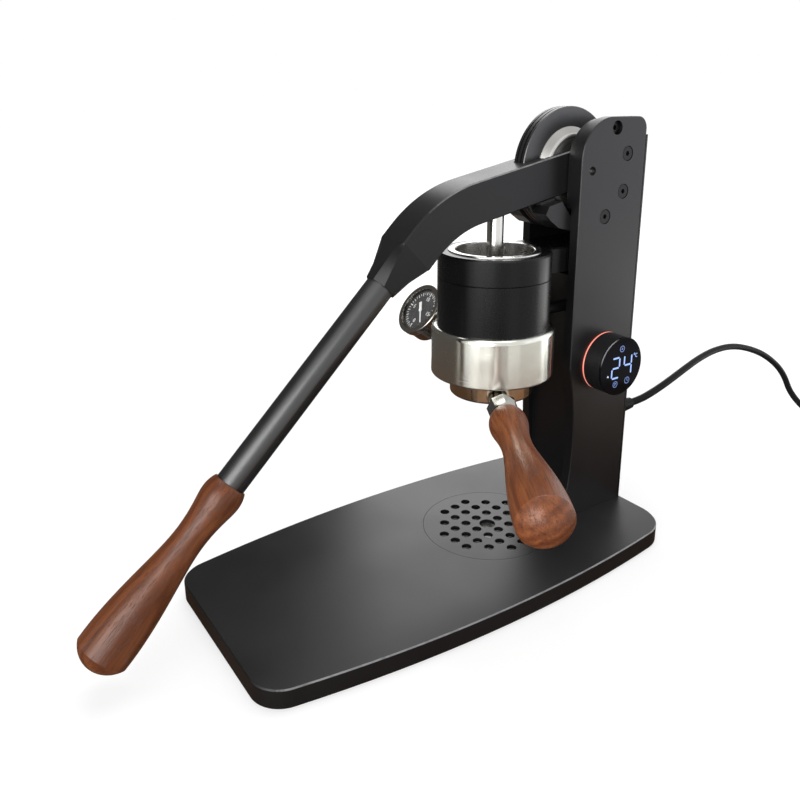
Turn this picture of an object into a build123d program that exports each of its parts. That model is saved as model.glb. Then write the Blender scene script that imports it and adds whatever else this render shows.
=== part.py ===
from build123d import *
import math
import os

# Manual lever espresso maker, millimetres, +Z up.
# The group axis is X = Y = 0, the lever points to -Y, the column stands at +Y
# and the part rests on Z = 0.

# Base
pad_height = 2.0
pad_inset = 9.0
base_thickness = 13.0
base_front = 224.2
base_back = 121.5
base_half_front = 73.5
base_half_middle = 92.0
base_half_back = 79.8
base_widest_y = -35.0
base_corner_front = 22.0
base_corner_back = 30.0
base_chamfer = 0.8
base_screw_inset = 14.0
base_top = pad_height + base_thickness
base_screw_radius = 2.5
base_screw_head = 4.5
base_screw_head_height = 4.0
base_screw_length = 26.0

# Drip grille and cup
grille_radius = 50.8
grille_thickness = 3.0
grille_clearance = 0.3
grille_pitch = 12.0
grille_hole = 7.4
grille_middle_hole = 12.5
grille_reach = 39.6
grille_turn = 8.0
cup_radius = 46.0
cup_depth = 7.0
cup_wall = 0.8

# Column
column_half = 29.6
plate_thickness = 8.0
plate_front = 52.6
plate_back = 118.0
plate_height = 311.5
plate_top_front_radius = 29.5
plate_top_back_radius = 9.0
plate_foot_height = 5.0
plate_waist_top = 127.0
plate_waist_depth = 7.3
plate_chamfer = 0.6
cover_screw_low = 16.0
cover_screw_drop = 18.0
cover_thickness = 1.5
cover_height = 298.5
panel_front = 64.0
panel_thickness = 2.0
panel_height = 196.0
small_screw_radius = 1.5
small_screw_head = 2.8
small_screw_head_height = 1.6
small_screw_length = 8.0
plate_inner = column_half - plate_thickness
plate_top = base_top + plate_height

# Lever pivot
pivot_y = 63.4
pivot_height = 274.6
pivot_z = base_top + pivot_height
axle_radius = 6.0
axle_seat_depth = 4.0
axle_peep_radius = 3.2
bearing_thickness = 6.6
bearing_radius = 43.0
bearing_inset = 1.5
side_screw_radius = 2.5
side_screw_head = 4.9
side_screw_length = 13.0
side_screw_socket = 1.9
side_screw_sink = 0.3
side_screw_ring_width = 0.6
side_screw_ring_depth = 1.2
bolt_circle = 37.2
bolt_angles = (17.0, -26.0)
cap_screw_angle = 52.0
cap_head_radius = 4.2
cap_head_height = 3.0
cap_bore_radius = 5.0
cap_bore_depth = 6.0

# Wheel, hubs and bushes on the pivot
wheel_radius = 44.0
wheel_half = 5.3
wheel_chamfer = 0.5
wheel_groove_width = 1.1
wheel_groove_depth = 2.5
wheel_groove_x = 1.9
hub_radius = 30.0
hub_step_radius = 24.4
hub_step_x = 5.8
hub_end_x = 10.5
hub_chamfer = 0.6
bush_wall = 2.0
bush_gap_half = 0.5
running_clearance = 0.05
fork_clearance = 0.5

# Lever
lever_half_width = 14.0
lever_half_depth = 14.3
lever_slope = 11.3
tube_slope = 44.85
lever_bend_radius = 85.0
lever_beam_length = 116.4
lever_head_length = 64.6
lever_taper_length = 28.3
lever_tip_half = 10.3
lever_facet_length = 5.5
lever_facet_width = 6.0
lever_facet_depth = 1.8
lever_chamfer = 0.8
tube_radius = 9.7
tube_length = 155.0
tube_socket = 20.0
grip_socket = 6.0
grip_stud_radius = 5.0
grip_stud_length = 36.0
grip_length = 130.0
grip_edge_round = 0.8
grip_outline = [
    (0.0, 10.9), (8.0, 13.0), (20.0, 11.6), (40.0, 9.9),
    (58.0, 11.4), (80.0, 14.4), (100.0, 16.4), (120.0, 16.8),
]

# Rod, piston and the pin that joins the rod to the lever
rod_radius = 6.0
pin_radius = 4.0
pin_depth = 4.4
pocket_clearance = 0.6
pocket_roof = 11.8
pocket_margin_back = 2.6
pocket_margin_front = 7.5
pocket_overcut = 5.0
rod_head_half_height = 8.0
rod_head_round = 3.0
rod_head_overlap = 1.5
slot_wall = 3.4
slot_play = 0.16
lever_swing = 38.0
piston_radius = 27.9
piston_lift = 157.0
piston_bottom = base_top + piston_lift
piston_height = 20.0
piston_chamfer = 0.8
piston_boss_radius = 11.0
piston_boss_height = 6.0
rod_thread_depth = 14.0
seal_height = 3.4
seal_depth = 3.0
seal_clearance = 0.25
seal_offset_low = 3.0
seal_offset_high = 12.5

# Group: chamber, heater, collar
bore_radius = 28.4
chamber_wall = 2.8
chamber_lift = 149.0
chamber_height = 72.4
chamber_flange_radius = 33.5
chamber_flange_height = 3.0
chamber_round = 1.0
chamber_rim_step = 0.9
bracket_height = 18.6
bracket_chamfer = 1.2
seam_chamfer = 0.5
bracket_shoulder_inset = 6.0
group_radius = 41.0
sleeve_wall = 2.8
heater_thickness = 4.8
heater_height = 27.0
heater_end_gap = 2.9
collar_radius = 45.1
collar_lift = 129.7
collar_height = 36.3
collar_round_top = 3.4
collar_round_bottom = 1.4
collar_cavity_radius = 37.0
collar_lip_radius = 34.4
collar_lip_height = 4.8
lug_gap_angle = 56.0
seat_clearance = 0.1
gasket_height = 3.0
gasket_inner = 29.2
screen_thickness = 1.2
screen_hole = 1.6
screen_pitch = 6.4
screen_reach = 26.3
arm_half_width = 20.0
arm_chamfer = 1.0
arm_back = 106.0
dowel_radius = 4.0
dowel_depth = 4.0
dowel_front = 70.0
dowel_back = 96.0
conduit_radius = 4.5
conduit_x = 10.0
conduit_rise = 6.5
conduit_overlap = 4.0
chamber_bottom = base_top + chamber_lift
chamber_top = chamber_bottom + chamber_height
bracket_top = chamber_top - chamber_rim_step
bracket_bottom = bracket_top - bracket_height
heater_top = bracket_bottom - heater_end_gap
heater_bottom = heater_top - heater_height
collar_bottom = base_top + collar_lift
collar_top = collar_bottom + collar_height
conduit_z = collar_top + conduit_rise

# Lever stop under the arm
stop_front = 28.0
stop_ridge_front = 31.0
stop_ridge_back = 43.0
stop_back = 90.0
stop_inner_x = 7.2
bumper_height = 2.0
bumper_gap = 0.3
stop_screw_angle = -64.6
stop_above_screw = 1.5
stop_below_screw = 3.5
stop_shelf_rise = 1.0
stop_shelf_end = 9.0
stop_step_end = 5.0
stop_edge_shift = 2.0
stop_belly_rise = 2.5
stop_chin_rise = 8.0
stop_nose_rise = 13.0

# Pressure gauge beside the group
gauge_y = -19.7
gauge_gap = 5.8
gauge_tilt = 36.9
gauge_radius = 21.4
bezel_height = 6.0
bezel_lip = 1.7
bezel_wall = 2.2
bezel_round = 1.0
case_radius = 20.2
case_round = 1.5
gauge_depth = 18.0
stem_radius = 4.5
stem_depth = 12.0
stem_drop = 7.8
lens_thickness = 1.2
lens_depth = 0.8
dial_depth = 3.6
dial_thickness = 0.8
needle_thickness = 0.6
needle_length = 12.0
needle_tail = 7.4
needle_width = 1.0
needle_tail_width = 2.4
needle_hub_radius = 1.6
needle_shaft_radius = 0.7
needle_lift = 0.4
needle_rest_angle = 218.7
needle_shaft_length = 2.5
needle_bore_depth = 3.0

# Temperature display on the right plate
display_y = 88.8
display_lift = 128.2
display_z = base_top + display_lift
display_radius = 23.0
display_depth = 16.8
display_glass_thickness = 1.4
display_glass_chamfer = 0.6
light_ring_thickness = 1.2
light_ring_width = 2.2
display_boss_radius = 6.0
display_boss_reach = 1.0
board_width = 38.0
board_height = 44.0
board_thickness = 1.6
board_gap = 4.0
standoff_radius = 2.5
standoff_inset = 4.0
power_half_width = 17.0
power_front = 70.0
power_back = 112.0
power_height = 60.0

# Portafilter
holder_azimuth = -30.5
holder_twist = 45.0
holder_radius = 31.0
holder_lift = 114.0
holder_bottom = base_top + holder_lift
holder_round = 1.6
rim_gap = 0.3
holder_wall = 2.4
lug_radius = 36.4
lug_angle = 40.0
lug_height = 4.6
lug_clearance = 0.3
basket_wall = 0.8
basket_depth = 25.0
basket_round = 4.0
neck_droop = 4.0
neck_start = 29.5
neck_length = 35.5
neck_radius = 8.2
ferrule_radius = 11.0
ferrule_length = 16.0
ferrule_taper = 5.0
holder_axis_rise = 6.3
holder_axis_z = holder_bottom + holder_axis_rise
holder_stud_radius = 4.0
holder_stud_length = 30.0

# Power lead
cord_radius = 3.1
gland_x = 15.0
gland_lift = 75.5
gland_z = base_top + gland_lift
gland_flange_radius = 8.5
gland_flange_length = 5.0
gland_root_radius = 6.6
gland_tip_radius = 4.6
gland_throat_radius = 4.1
gland_grooves = 3
gland_groove_pitch = 2.6
gland_groove_width = 1.1
gland_groove_radius = 4.3
cord_rest_z = 4.3
coil_x = 92.0
coil_y = 410.0
coil_outer = 40.0
coil_pitch = 6.9
coil_layer = 6.8
coil_turns = 3.0
coil_climb_turns = 0.5
coil_samples = 400
cord_corner_share = 0.45
tie_thickness = 0.8
tie_width = 8.0
tie_clearance = 0.3
tie_turn = 0.25
plug_length = 38.0
plug_half_width = 13.0
plug_floor_gap = 0.3
plug_round = 5.0
plug_taper_length = 20.9
plug_nose_width = 12.2
plug_nose_height = 10.2
plug_nose_round = 3.0
coil_tail = 30.0
plug_pin_radius = 2.4
plug_pin_length = 19.0
plug_pin_spacing = 19.0
plug_pin_round = 1.2
cord_route = [
    (15.0, 142.0, 90.5), (15.0, 154.0, 90.5), (13.8, 172.0, 92.9), (10.4, 195.5, 96.2),
    (4.0, 228.0, 100.6), (-3.6, 259.5, 102.9), (-9.7, 291.5, 103.4), (-13.0, 324.5, 100.7),
    (-13.0, 356.0, 92.2), (-10.4, 386.0, 79.0), (-5.0, 412.5, 57.5), (0.0, 426.0, 28.5),
    (27.0, 436.0, 7.0), (44.0, 444.0, 4.3), (64.5, 450.0, 4.3), (85.8, 450.0, 4.3),
]


def block(x_from, x_to, y_from, y_to, z_from, z_to):
    """A box between two corners."""
    size = (x_to - x_from, y_to - y_from, z_to - z_from)
    middle = ((x_from + x_to) / 2, (y_from + y_to) / 2, (z_from + z_to) / 2)
    return Pos(*middle) * Box(*size)


def disc_x(radius, x_from, x_to, y, z):
    """A cylinder along X."""
    return Pos((x_from + x_to) / 2, y, z) * Rot(0, 90, 0) * Cylinder(radius, abs(x_to - x_from))


def disc_y(radius, y_from, y_to, x, z):
    """A cylinder along Y."""
    return Pos(x, (y_from + y_to) / 2, z) * Rot(90, 0, 0) * Cylinder(radius, abs(y_to - y_from))


def disc_z(radius, z_from, z_to, x=0.0, y=0.0):
    """A cylinder along Z."""
    return Pos(x, y, (z_from + z_to) / 2) * Cylinder(radius, abs(z_to - z_from))


def tube_z(outer, inner, z_from, z_to):
    """A ring about the group axis."""
    return disc_z(outer, z_from, z_to) - disc_z(inner, z_from, z_to)


def from_side(face, x_from, x_to):
    """Extrudes a face drawn in Y and Z from one X to another."""
    return extrude(Plane.YZ.offset(x_from) * face, amount=x_to - x_from)


def turned(edges):
    """Turns a closed outline of radius and height about Z."""
    return revolve(Plane.XZ * make_face(edges), Axis.Z)


def mirrored(solid):
    """The same piece on the left side."""
    return mirror(solid, about=Plane.YZ)


def joined(solids):
    """Several separate solids kept as one piece."""
    return Compound(children=list(solids))


nodes = {}

# Base plate, pad, screws


def base_outline():
    """Plan of the base: straight ends, bowed sides, round corners."""
    right = ThreePointArc(
        (base_half_front, -base_front), (base_half_middle, base_widest_y), (base_half_back, base_back)
    )
    left = ThreePointArc(
        (-base_half_back, base_back), (-base_half_middle, base_widest_y), (-base_half_front, -base_front)
    )
    front = Line((-base_half_front, -base_front), (base_half_front, -base_front))
    back = Line((base_half_back, base_back), (-base_half_back, base_back))
    face = make_face([front, right, back, left])
    face = fillet(face.vertices().sort_by(Axis.Y)[:2], base_corner_front)
    return fillet(face.vertices().sort_by(Axis.Y)[-2:], base_corner_back)


outline = base_outline()
base_plate = Pos(0, 0, pad_height) * extrude(outline, amount=base_thickness)
base_plate = chamfer(base_plate.faces().sort_by(Axis.Z)[-1].edges(), base_chamfer)

well_radius = cup_radius + grille_clearance
well_floor = base_top - grille_thickness - cup_depth
base_plate -= disc_z(grille_radius + grille_clearance, base_top - grille_thickness, base_top)
base_plate -= disc_z(well_radius, well_floor, base_top)

base_screw_y = (plate_front + base_screw_inset, plate_back - base_screw_inset)
base_screw_x = plate_inner + plate_thickness / 2
base_screw_places = [(x, y) for x in (-base_screw_x, base_screw_x) for y in base_screw_y]
base_screw_solids = []
for x, y in base_screw_places:
    head = disc_z(base_screw_head, pad_height, pad_height + base_screw_head_height, x, y)
    shank = disc_z(base_screw_radius, pad_height, pad_height + base_screw_length, x, y)
    base_screw_solids.append(head + shank)
    base_plate -= head + shank
nodes["base_plate"] = base_plate
nodes["base_pad"] = extrude(offset(outline, -pad_inset), amount=pad_height)
nodes["base_screws"] = joined(base_screw_solids)

# Drip grille and the cup that hangs on it

grille = disc_z(grille_radius, base_top - grille_thickness, base_top)
reach = int(grille_reach / grille_pitch) + 1
for a in range(-reach, reach + 1):
    for b in range(-reach, reach + 1):
        if math.hypot(a, b) * grille_pitch > grille_reach:
            continue
        hole = grille_middle_hole if a == b == 0 else grille_hole
        spot = Vector(a * grille_pitch, b * grille_pitch, 0).rotate(Axis.Z, grille_turn)
        grille -= disc_z(hole / 2, base_top - grille_thickness, base_top, spot.X, spot.Y)
nodes["drip_grille"] = grille

cup_top = base_top - grille_thickness
cup_floor = well_floor + grille_clearance
cup = disc_z(cup_radius, cup_floor, cup_top)
cup -= disc_z(cup_radius - cup_wall, cup_floor + cup_wall, cup_top)
nodes["drip_cup"] = cup

# Column side plates


def plate_profile():
    """Side plate seen from the side: waisted front edge, round top corners."""
    foot = base_top + plate_foot_height
    waist_top = base_top + plate_waist_top
    waist_middle = (plate_front + plate_waist_depth, (foot + waist_top) / 2)
    round_start = (plate_front, plate_top - plate_top_front_radius)
    round_end = (plate_front + plate_top_front_radius, plate_top)
    back_start = (plate_back - plate_top_back_radius, plate_top)
    back_end = (plate_back, plate_top - plate_top_back_radius)
    edges = [
        Line((plate_front, base_top), (plate_front, foot)),
        ThreePointArc((plate_front, foot), waist_middle, (plate_front, waist_top)),
        Line((plate_front, waist_top), round_start),
        TangentArc(round_start, round_end, tangent=(0, 1)),
        Line(round_end, back_start),
        TangentArc(back_start, back_end, tangent=(1, 0)),
        Line(back_end, (plate_back, base_top)),
        Line((plate_back, base_top), (plate_front, base_top)),
    ]
    return make_face(edges)


def on_bolt_circle(angle):
    """A point round the pivot, seen from the side."""
    turn = math.radians(angle)
    return pivot_y + bolt_circle * math.cos(turn), pivot_z + bolt_circle * math.sin(turn)


screw_face = column_half - side_screw_sink


def countersunk_screw(y, z):
    """Countersunk socket screw whose head lies just under the right plate's outer face."""
    cone_depth = side_screw_head - side_screw_radius
    shank = disc_x(side_screw_radius, column_half - side_screw_length, screw_face, y, z)
    cone = Cone(side_screw_radius, side_screw_head, cone_depth)
    head = Pos(screw_face - cone_depth / 2, y, z) * Rot(0, 90, 0) * cone
    return shank + head


def socket_recess(y, z, x_face):
    """Hexagon socket in a screw's head."""
    face = Plane.YZ.offset(x_face) * Pos(y, z) * RegularPolygon(side_screw_socket, 6)
    return extrude(face, amount=-side_screw_socket)


def cap_screw(y, z):
    """Socket cap screw sunk in a counterbore of the right plate."""
    seat = column_half - cap_bore_depth
    shank = disc_x(side_screw_radius, column_half - side_screw_length - cap_head_height, seat, y, z)
    return shank + disc_x(cap_head_radius, seat, seat + cap_head_height, y, z)


flat_places = [on_bolt_circle(angle) for angle in bolt_angles] + [on_bolt_circle(stop_screw_angle)]
cap_place = on_bolt_circle(cap_screw_angle)
flat_screws = [countersunk_screw(y, z) for y, z in flat_places]

profile = plate_profile()
right_plate = from_side(profile, plate_inner, column_half)
outer_face = right_plate.faces().sort_by(Axis.X)[-1]
free_edges = outer_face.edges().filter_by(lambda e: e.center().Z > base_top + plate_chamfer)
right_plate = chamfer(free_edges, plate_chamfer)
for screw in flat_screws:
    right_plate -= screw
ring_radius = side_screw_head + side_screw_ring_width
for place in flat_places:
    right_plate -= disc_x(ring_radius, column_half - side_screw_ring_depth, column_half, *place)
right_plate -= disc_x(cap_bore_radius, column_half - cap_bore_depth, column_half, *cap_place)
right_plate -= disc_x(side_screw_radius, plate_inner, column_half, *cap_place)
right_plate -= disc_x(axle_radius, plate_inner, plate_inner + axle_seat_depth, pivot_y, pivot_z)
right_plate -= disc_x(axle_peep_radius, plate_inner, column_half, pivot_y, pivot_z)
dowel_z = (bracket_bottom + bracket_top) / 2
for y in (dowel_front, dowel_back):
    right_plate -= disc_x(dowel_radius, plate_inner, plate_inner + dowel_depth, y, dowel_z)
for solid in base_screw_solids:
    right_plate -= solid

cover_screw_z = (base_top + cover_screw_low, base_top + cover_height - cover_screw_drop)
cover_back = plate_back + cover_thickness


def cover_screw(x, z):
    """Small pan screw that holds the back cover on a plate's rear edge."""
    head = disc_y(small_screw_head, cover_back, cover_back + small_screw_head_height, x, z)
    return head + disc_y(small_screw_radius, cover_back - small_screw_length, cover_back, x, z)


cover_screws = [cover_screw(x, z) for x in (-base_screw_x, base_screw_x) for z in cover_screw_z]
for solid in cover_screws:
    right_plate -= solid
left_plate = mirrored(right_plate)
right_plate -= disc_x(display_boss_radius, plate_inner, column_half, display_y, display_z)
nodes["left_plate"] = left_plate
nodes["right_plate"] = right_plate

sunk_screws = [screw - socket_recess(y, z, screw_face) for screw, (y, z) in zip(flat_screws, flat_places)]
right_cap = cap_screw(*cap_place)
right_cap -= socket_recess(*cap_place, column_half - cap_bore_depth + cap_head_height)
nodes["plate_screws"] = joined(sunk_screws + [mirrored(screw) for screw in sunk_screws])
nodes["cap_screws"] = joined([right_cap, mirrored(right_cap)])

# Back cover, front panel

back_cover = block(-column_half, column_half, plate_back, cover_back, base_top, base_top + cover_height)
back_cover -= disc_y(gland_throat_radius, plate_back, cover_back, gland_x, gland_z)
for solid in cover_screws:
    back_cover -= solid
nodes["back_cover"] = back_cover
nodes["cover_screws"] = joined(cover_screws)
panel_back = panel_front + panel_thickness
panel_top = base_top + panel_height
front_panel = block(-plate_inner, plate_inner, panel_front, panel_back, base_top, panel_top)

# Bearings for the axle, bolted inside the plates

bearing_x = plate_inner - bearing_thickness
disc = from_side(Pos(pivot_y, pivot_z) * Circle(bearing_radius), bearing_x, plate_inner)
right_bearing = disc & from_side(offset(profile, -bearing_inset), bearing_x, plate_inner)
right_bearing -= disc_x(axle_radius, bearing_x, plate_inner, pivot_y, pivot_z)
for screw in flat_screws + [cap_screw(*cap_place)]:
    right_bearing -= screw

# Lever stop: a bracket under the arm, bolted to the plate by the lowest screw


def along_beam(distance, height):
    """A point of the lever's beam: distance from the pivot, height above the middle line."""
    turn = math.radians(lever_slope)
    y = pivot_y - distance * math.cos(turn) - height * math.sin(turn)
    z = pivot_z - distance * math.sin(turn) + height * math.cos(turn)
    return y, z


def beam_distance(y, height):
    """How far from the pivot the beam is at a given Y."""
    turn = math.radians(lever_slope)
    return (pivot_y - y - height * math.sin(turn)) / math.cos(turn)


pad_height_n = -lever_half_depth - bumper_gap - bumper_height
ridge_front = along_beam(beam_distance(stop_ridge_front, pad_height_n), pad_height_n)
ridge_back = along_beam(beam_distance(stop_ridge_back, pad_height_n), pad_height_n)
screw_y, screw_z = on_bolt_circle(stop_screw_angle)
stop_top = screw_z + side_screw_head + stop_above_screw
stop_low = screw_z - side_screw_head - stop_below_screw
stop_shelf = screw_z + stop_shelf_rise
stop_points = [
    ridge_front, ridge_back,
    (plate_front, stop_shelf), (screw_y - stop_shelf_end, stop_shelf),
    (screw_y - stop_step_end, stop_top), (stop_back, stop_top), (stop_back, stop_low),
    (plate_front - stop_edge_shift, stop_low),
    (stop_ridge_back - stop_edge_shift, stop_low + stop_belly_rise),
    (stop_ridge_front + stop_edge_shift, stop_low + stop_chin_rise),
    (stop_front, stop_low + stop_nose_rise),
]
stop_face = make_face(Polyline(*stop_points, close=True))
right_stop = from_side(stop_face, stop_inner_x, plate_inner)
right_stop -= flat_screws[-1]
right_bearing -= block(
    bearing_x, plate_inner, pivot_y - bearing_radius, pivot_y + bearing_radius,
    pivot_z - bearing_radius, stop_top + seat_clearance,
)
nodes["left_bearing"] = mirrored(right_bearing)
nodes["right_bearing"] = right_bearing
nodes["left_stop"] = mirrored(right_stop)
nodes["right_stop"] = right_stop

bumper_top = -lever_half_depth - bumper_gap
bumper_points = [
    ridge_front, ridge_back,
    along_beam(beam_distance(stop_ridge_back, pad_height_n), bumper_top),
    along_beam(beam_distance(stop_ridge_front, pad_height_n), bumper_top),
]
bumper_face = make_face(Polyline(*bumper_points, close=True))
bumper = from_side(bumper_face, stop_inner_x, lever_half_width)
nodes["stop_bumpers"] = joined([bumper, mirrored(bumper)])

# Axle, wheel, hubs and bushes

axle_end = plate_inner + axle_seat_depth
nodes["pivot_axle"] = disc_x(axle_radius, -axle_end, axle_end, pivot_y, pivot_z)
bush_inner = axle_radius + running_clearance
bush_outer = axle_radius + bush_wall
right_bush = disc_x(bush_outer, bush_gap_half, lever_half_width, pivot_y, pivot_z)
right_bush -= disc_x(bush_inner, bush_gap_half, lever_half_width, pivot_y, pivot_z)
nodes["pivot_bushes"] = joined([right_bush, mirrored(right_bush)])

wheel = disc_x(wheel_radius, -wheel_half, wheel_half, pivot_y, pivot_z)
wheel = chamfer(wheel.edges(), wheel_chamfer)
wheel -= disc_x(bush_outer, -wheel_half, wheel_half, pivot_y, pivot_z)
for x in (-wheel_groove_x, wheel_groove_x):
    groove_from = x - wheel_groove_width / 2
    groove_to = x + wheel_groove_width / 2
    groove = disc_x(wheel_radius + wheel_groove_depth, groove_from, groove_to, pivot_y, pivot_z)
    groove -= disc_x(wheel_radius - wheel_groove_depth, groove_from, groove_to, pivot_y, pivot_z)
    wheel -= groove
nodes["pivot_wheel"] = wheel

right_hub = disc_x(hub_radius, wheel_half, hub_step_x, pivot_y, pivot_z)
cone_height = hub_end_x - hub_step_x
cone_plane = Plane(origin=(hub_step_x, pivot_y, pivot_z), x_dir=(0, 1, 0), z_dir=(1, 0, 0))
right_hub += cone_plane * Pos(0, 0, cone_height / 2) * Cone(hub_radius, hub_step_radius, cone_height)
hub_edges = right_hub.edges().filter_by(lambda e: e.center().X > wheel_half + hub_chamfer)
right_hub = chamfer(hub_edges, hub_chamfer)
right_hub -= disc_x(bush_outer, wheel_half, hub_end_x, pivot_y, pivot_z)
nodes["left_hub"] = mirrored(right_hub)
nodes["right_hub"] = right_hub

# Lever arm


def head_point(distance, height):
    """A point of the lever's head: distance past the bend's corner, height above its middle line."""
    corner = along_beam(lever_beam_length, 0)
    turn = math.radians(tube_slope)
    y = corner[0] - distance * math.cos(turn) - height * math.sin(turn)
    z = corner[1] - distance * math.sin(turn) + height * math.cos(turn)
    return y, z


bend_turn = tube_slope - lever_slope
bend_tangent = lever_bend_radius * math.tan(math.radians(bend_turn / 2))
beam_end = lever_beam_length - bend_tangent
taper_start = lever_head_length - lever_taper_length
bend_centre = along_beam(beam_end, -lever_bend_radius)


def bend_middle(height):
    """The middle of the bend's arc at a height above the lever's middle line."""
    turn = math.radians((lever_slope + tube_slope) / 2)
    radius = lever_bend_radius + height
    return bend_centre[0] - radius * math.sin(turn), bend_centre[1] + radius * math.cos(turn)


d = lever_half_depth
arm_edges = [
    Line(along_beam(0, d), along_beam(beam_end, d)),
    ThreePointArc(along_beam(beam_end, d), bend_middle(d), head_point(bend_tangent, d)),
    Line(head_point(bend_tangent, d), head_point(taper_start, d)),
    Line(head_point(taper_start, d), head_point(taper_start, -d)),
    Line(head_point(taper_start, -d), head_point(bend_tangent, -d)),
    ThreePointArc(head_point(bend_tangent, -d), bend_middle(-d), along_beam(beam_end, -d)),
    Line(along_beam(beam_end, -d), along_beam(0, -d)),
    ThreePointArc(along_beam(0, -d), along_beam(-d, 0), along_beam(0, d)),
]
arm = from_side(make_face(arm_edges), -lever_half_width, lever_half_width)
side_edges = arm.faces().sort_by(Axis.X)[-1].edges() + arm.faces().sort_by(Axis.X)[0].edges()
tip_y, tip_z = head_point(lever_head_length, 0)
taper_y, taper_z = head_point(taper_start, 0)
forward = Vector(0, -math.cos(math.radians(tube_slope)), -math.sin(math.radians(tube_slope)))
taper_spot = Vector(0, taper_y, taper_z)
long_edges = [e for e in side_edges if (e.center() - taper_spot).length > lever_half_width + lever_chamfer]
arm = chamfer(long_edges, lever_chamfer)


def taper_section(distance, corner_width, corner_depth):
    """A section of the lever's tapered end: a rectangle with its corners cut."""
    share = distance / lever_taper_length
    half_width = lever_half_width + (lever_tip_half - lever_half_width) * share
    half_depth = d + (lever_tip_half - d) * share
    w = half_width - corner_width
    h = half_depth - corner_depth
    right = [(w, -half_depth), (half_width, -h), (half_width, h), (w, half_depth)]
    left = [(-w, half_depth), (-half_width, h), (-half_width, -h), (-w, -half_depth)]
    middle = taper_spot + forward * distance
    plane = Plane(origin=middle, x_dir=(1, 0, 0), z_dir=forward)
    return plane * make_face(Polyline(*right, *left, close=True))


tip_corner = lever_tip_half * (2 - math.sqrt(2))
taper_sections = [
    taper_section(0, lever_chamfer, lever_chamfer),
    taper_section(lever_facet_length, lever_facet_width, lever_facet_depth),
    taper_section(lever_taper_length, tip_corner, tip_corner),
]
arm += loft(taper_sections, ruled=True)


def along_tube(radius, start, length):
    """A cylinder on the tube's axis, start measured from the lever's tip."""
    middle = Vector(0, tip_y, tip_z) + forward * (start + length / 2)
    return Plane(origin=middle, x_dir=(1, 0, 0), z_dir=forward) * Cylinder(radius, length)


arm -= along_tube(tube_radius, -tube_socket, tube_socket)
fork_half = wheel_half + fork_clearance
arm -= disc_x(wheel_radius + fork_clearance, -fork_half, fork_half, pivot_y, pivot_z)
hub_cut = hub_radius + fork_clearance
arm -= disc_x(hub_cut, -hub_end_x, hub_end_x, pivot_y, pivot_z)
arm -= disc_x(bush_outer, -lever_half_width, lever_half_width, pivot_y, pivot_z)

# Rod pin in the lever and the slotted head of the rod

pin_distance = pivot_y / math.cos(math.radians(lever_slope))
pin_y, pin_z = along_beam(pin_distance, 0)
pin_drop = math.radians(lever_slope)
pin_rise = math.radians(lever_swing - lever_slope)
piston_travel = pin_distance * (math.sin(pin_rise) + math.sin(pin_drop))
pin_middle_turn = math.radians(lever_swing / 2 - lever_slope)
half_way_lift = pin_distance * (math.sin(pin_middle_turn) + math.sin(pin_drop))
pin_bulge = half_way_lift - piston_travel / 2
pin_y_least = pivot_y - pin_distance
pin_y_most = pivot_y - pin_distance * math.cos(pin_rise)
slot_radius = pin_radius + pin_bulge / 2 + slot_play
slot_z = pin_z + pin_bulge / 2
head_front = pin_y_least - slot_radius - slot_wall
head_back = pin_y_most + slot_radius + slot_wall
pocket_half = rod_radius + pocket_clearance
pocket_near = beam_distance(head_back, rod_head_half_height) - pocket_margin_back
pocket_far = beam_distance(head_front, -rod_head_half_height) + pocket_margin_front
pocket_mouth = -d - pocket_overcut
pocket_points = [
    along_beam(pocket_near, pocket_roof), along_beam(pocket_far, pocket_roof),
    along_beam(pocket_far, pocket_mouth), along_beam(pocket_near, pocket_mouth),
]
pocket_face = make_face(Polyline(*pocket_points, close=True))
arm -= from_side(pocket_face, -pocket_half, pocket_half)
pin_half = pocket_half + pin_depth
arm -= disc_x(pin_radius, -pin_half, pin_half, pin_y, pin_z)
nodes["lever_arm"] = arm
nodes["rod_pin"] = disc_x(pin_radius, -pin_half, pin_half, pin_y, pin_z)

# Lever tube and wooden grip

tube = along_tube(tube_radius, -tube_socket, tube_socket + tube_length + grip_socket)
tube += along_tube(grip_stud_radius, tube_length + grip_socket, grip_stud_length - grip_socket)
nodes["lever_tube"] = tube

# Both grips are the same turned piece: a smooth side, an edge and a domed end

edge_height, edge_radius = grip_outline[-1]
grip_edges = [
    Spline([(radius, height) for height, radius in grip_outline]),
    TangentArc((0, grip_length), (edge_radius, edge_height), tangent=(1, 0)),
    Line((0, grip_length), (0, 0)),
    Line((0, 0), (grip_outline[0][1], 0)),
]
grip = turned(grip_edges)
grip = fillet(grip.edges().filter_by(Plane.XY).sort_by(Axis.Z)[-1], grip_edge_round)
grip_start = Vector(0, tip_y, tip_z) + forward * tube_length
grip_plane = Plane(origin=grip_start, x_dir=(1, 0, 0), z_dir=forward)
lever_grip = grip_plane * grip
lever_grip -= along_tube(tube_radius, tube_length, grip_socket)
lever_grip -= along_tube(grip_stud_radius, tube_length, grip_stud_length)
nodes["lever_grip"] = lever_grip

# Piston, seals and rod

piston_top = piston_bottom + piston_height
piston = disc_z(piston_radius, piston_bottom, piston_top)
piston = chamfer(piston.edges(), piston_chamfer)
piston += disc_z(piston_boss_radius, piston_top, piston_top + piston_boss_height)
seals = []
groove_radius = piston_radius - seal_depth
for lift in (seal_offset_low, seal_offset_high):
    seal_from = piston_bottom + lift
    seal_to = seal_from + seal_height
    piston -= tube_z(bore_radius, groove_radius, seal_from, seal_to)
    seals.append(tube_z(bore_radius - seal_clearance, groove_radius, seal_from, seal_to))
rod_bottom = piston_top + piston_boss_height - rod_thread_depth
piston -= disc_z(rod_radius, rod_bottom, piston_top + piston_boss_height)
nodes["piston_head"] = piston
nodes["piston_seals"] = joined(seals)

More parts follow.
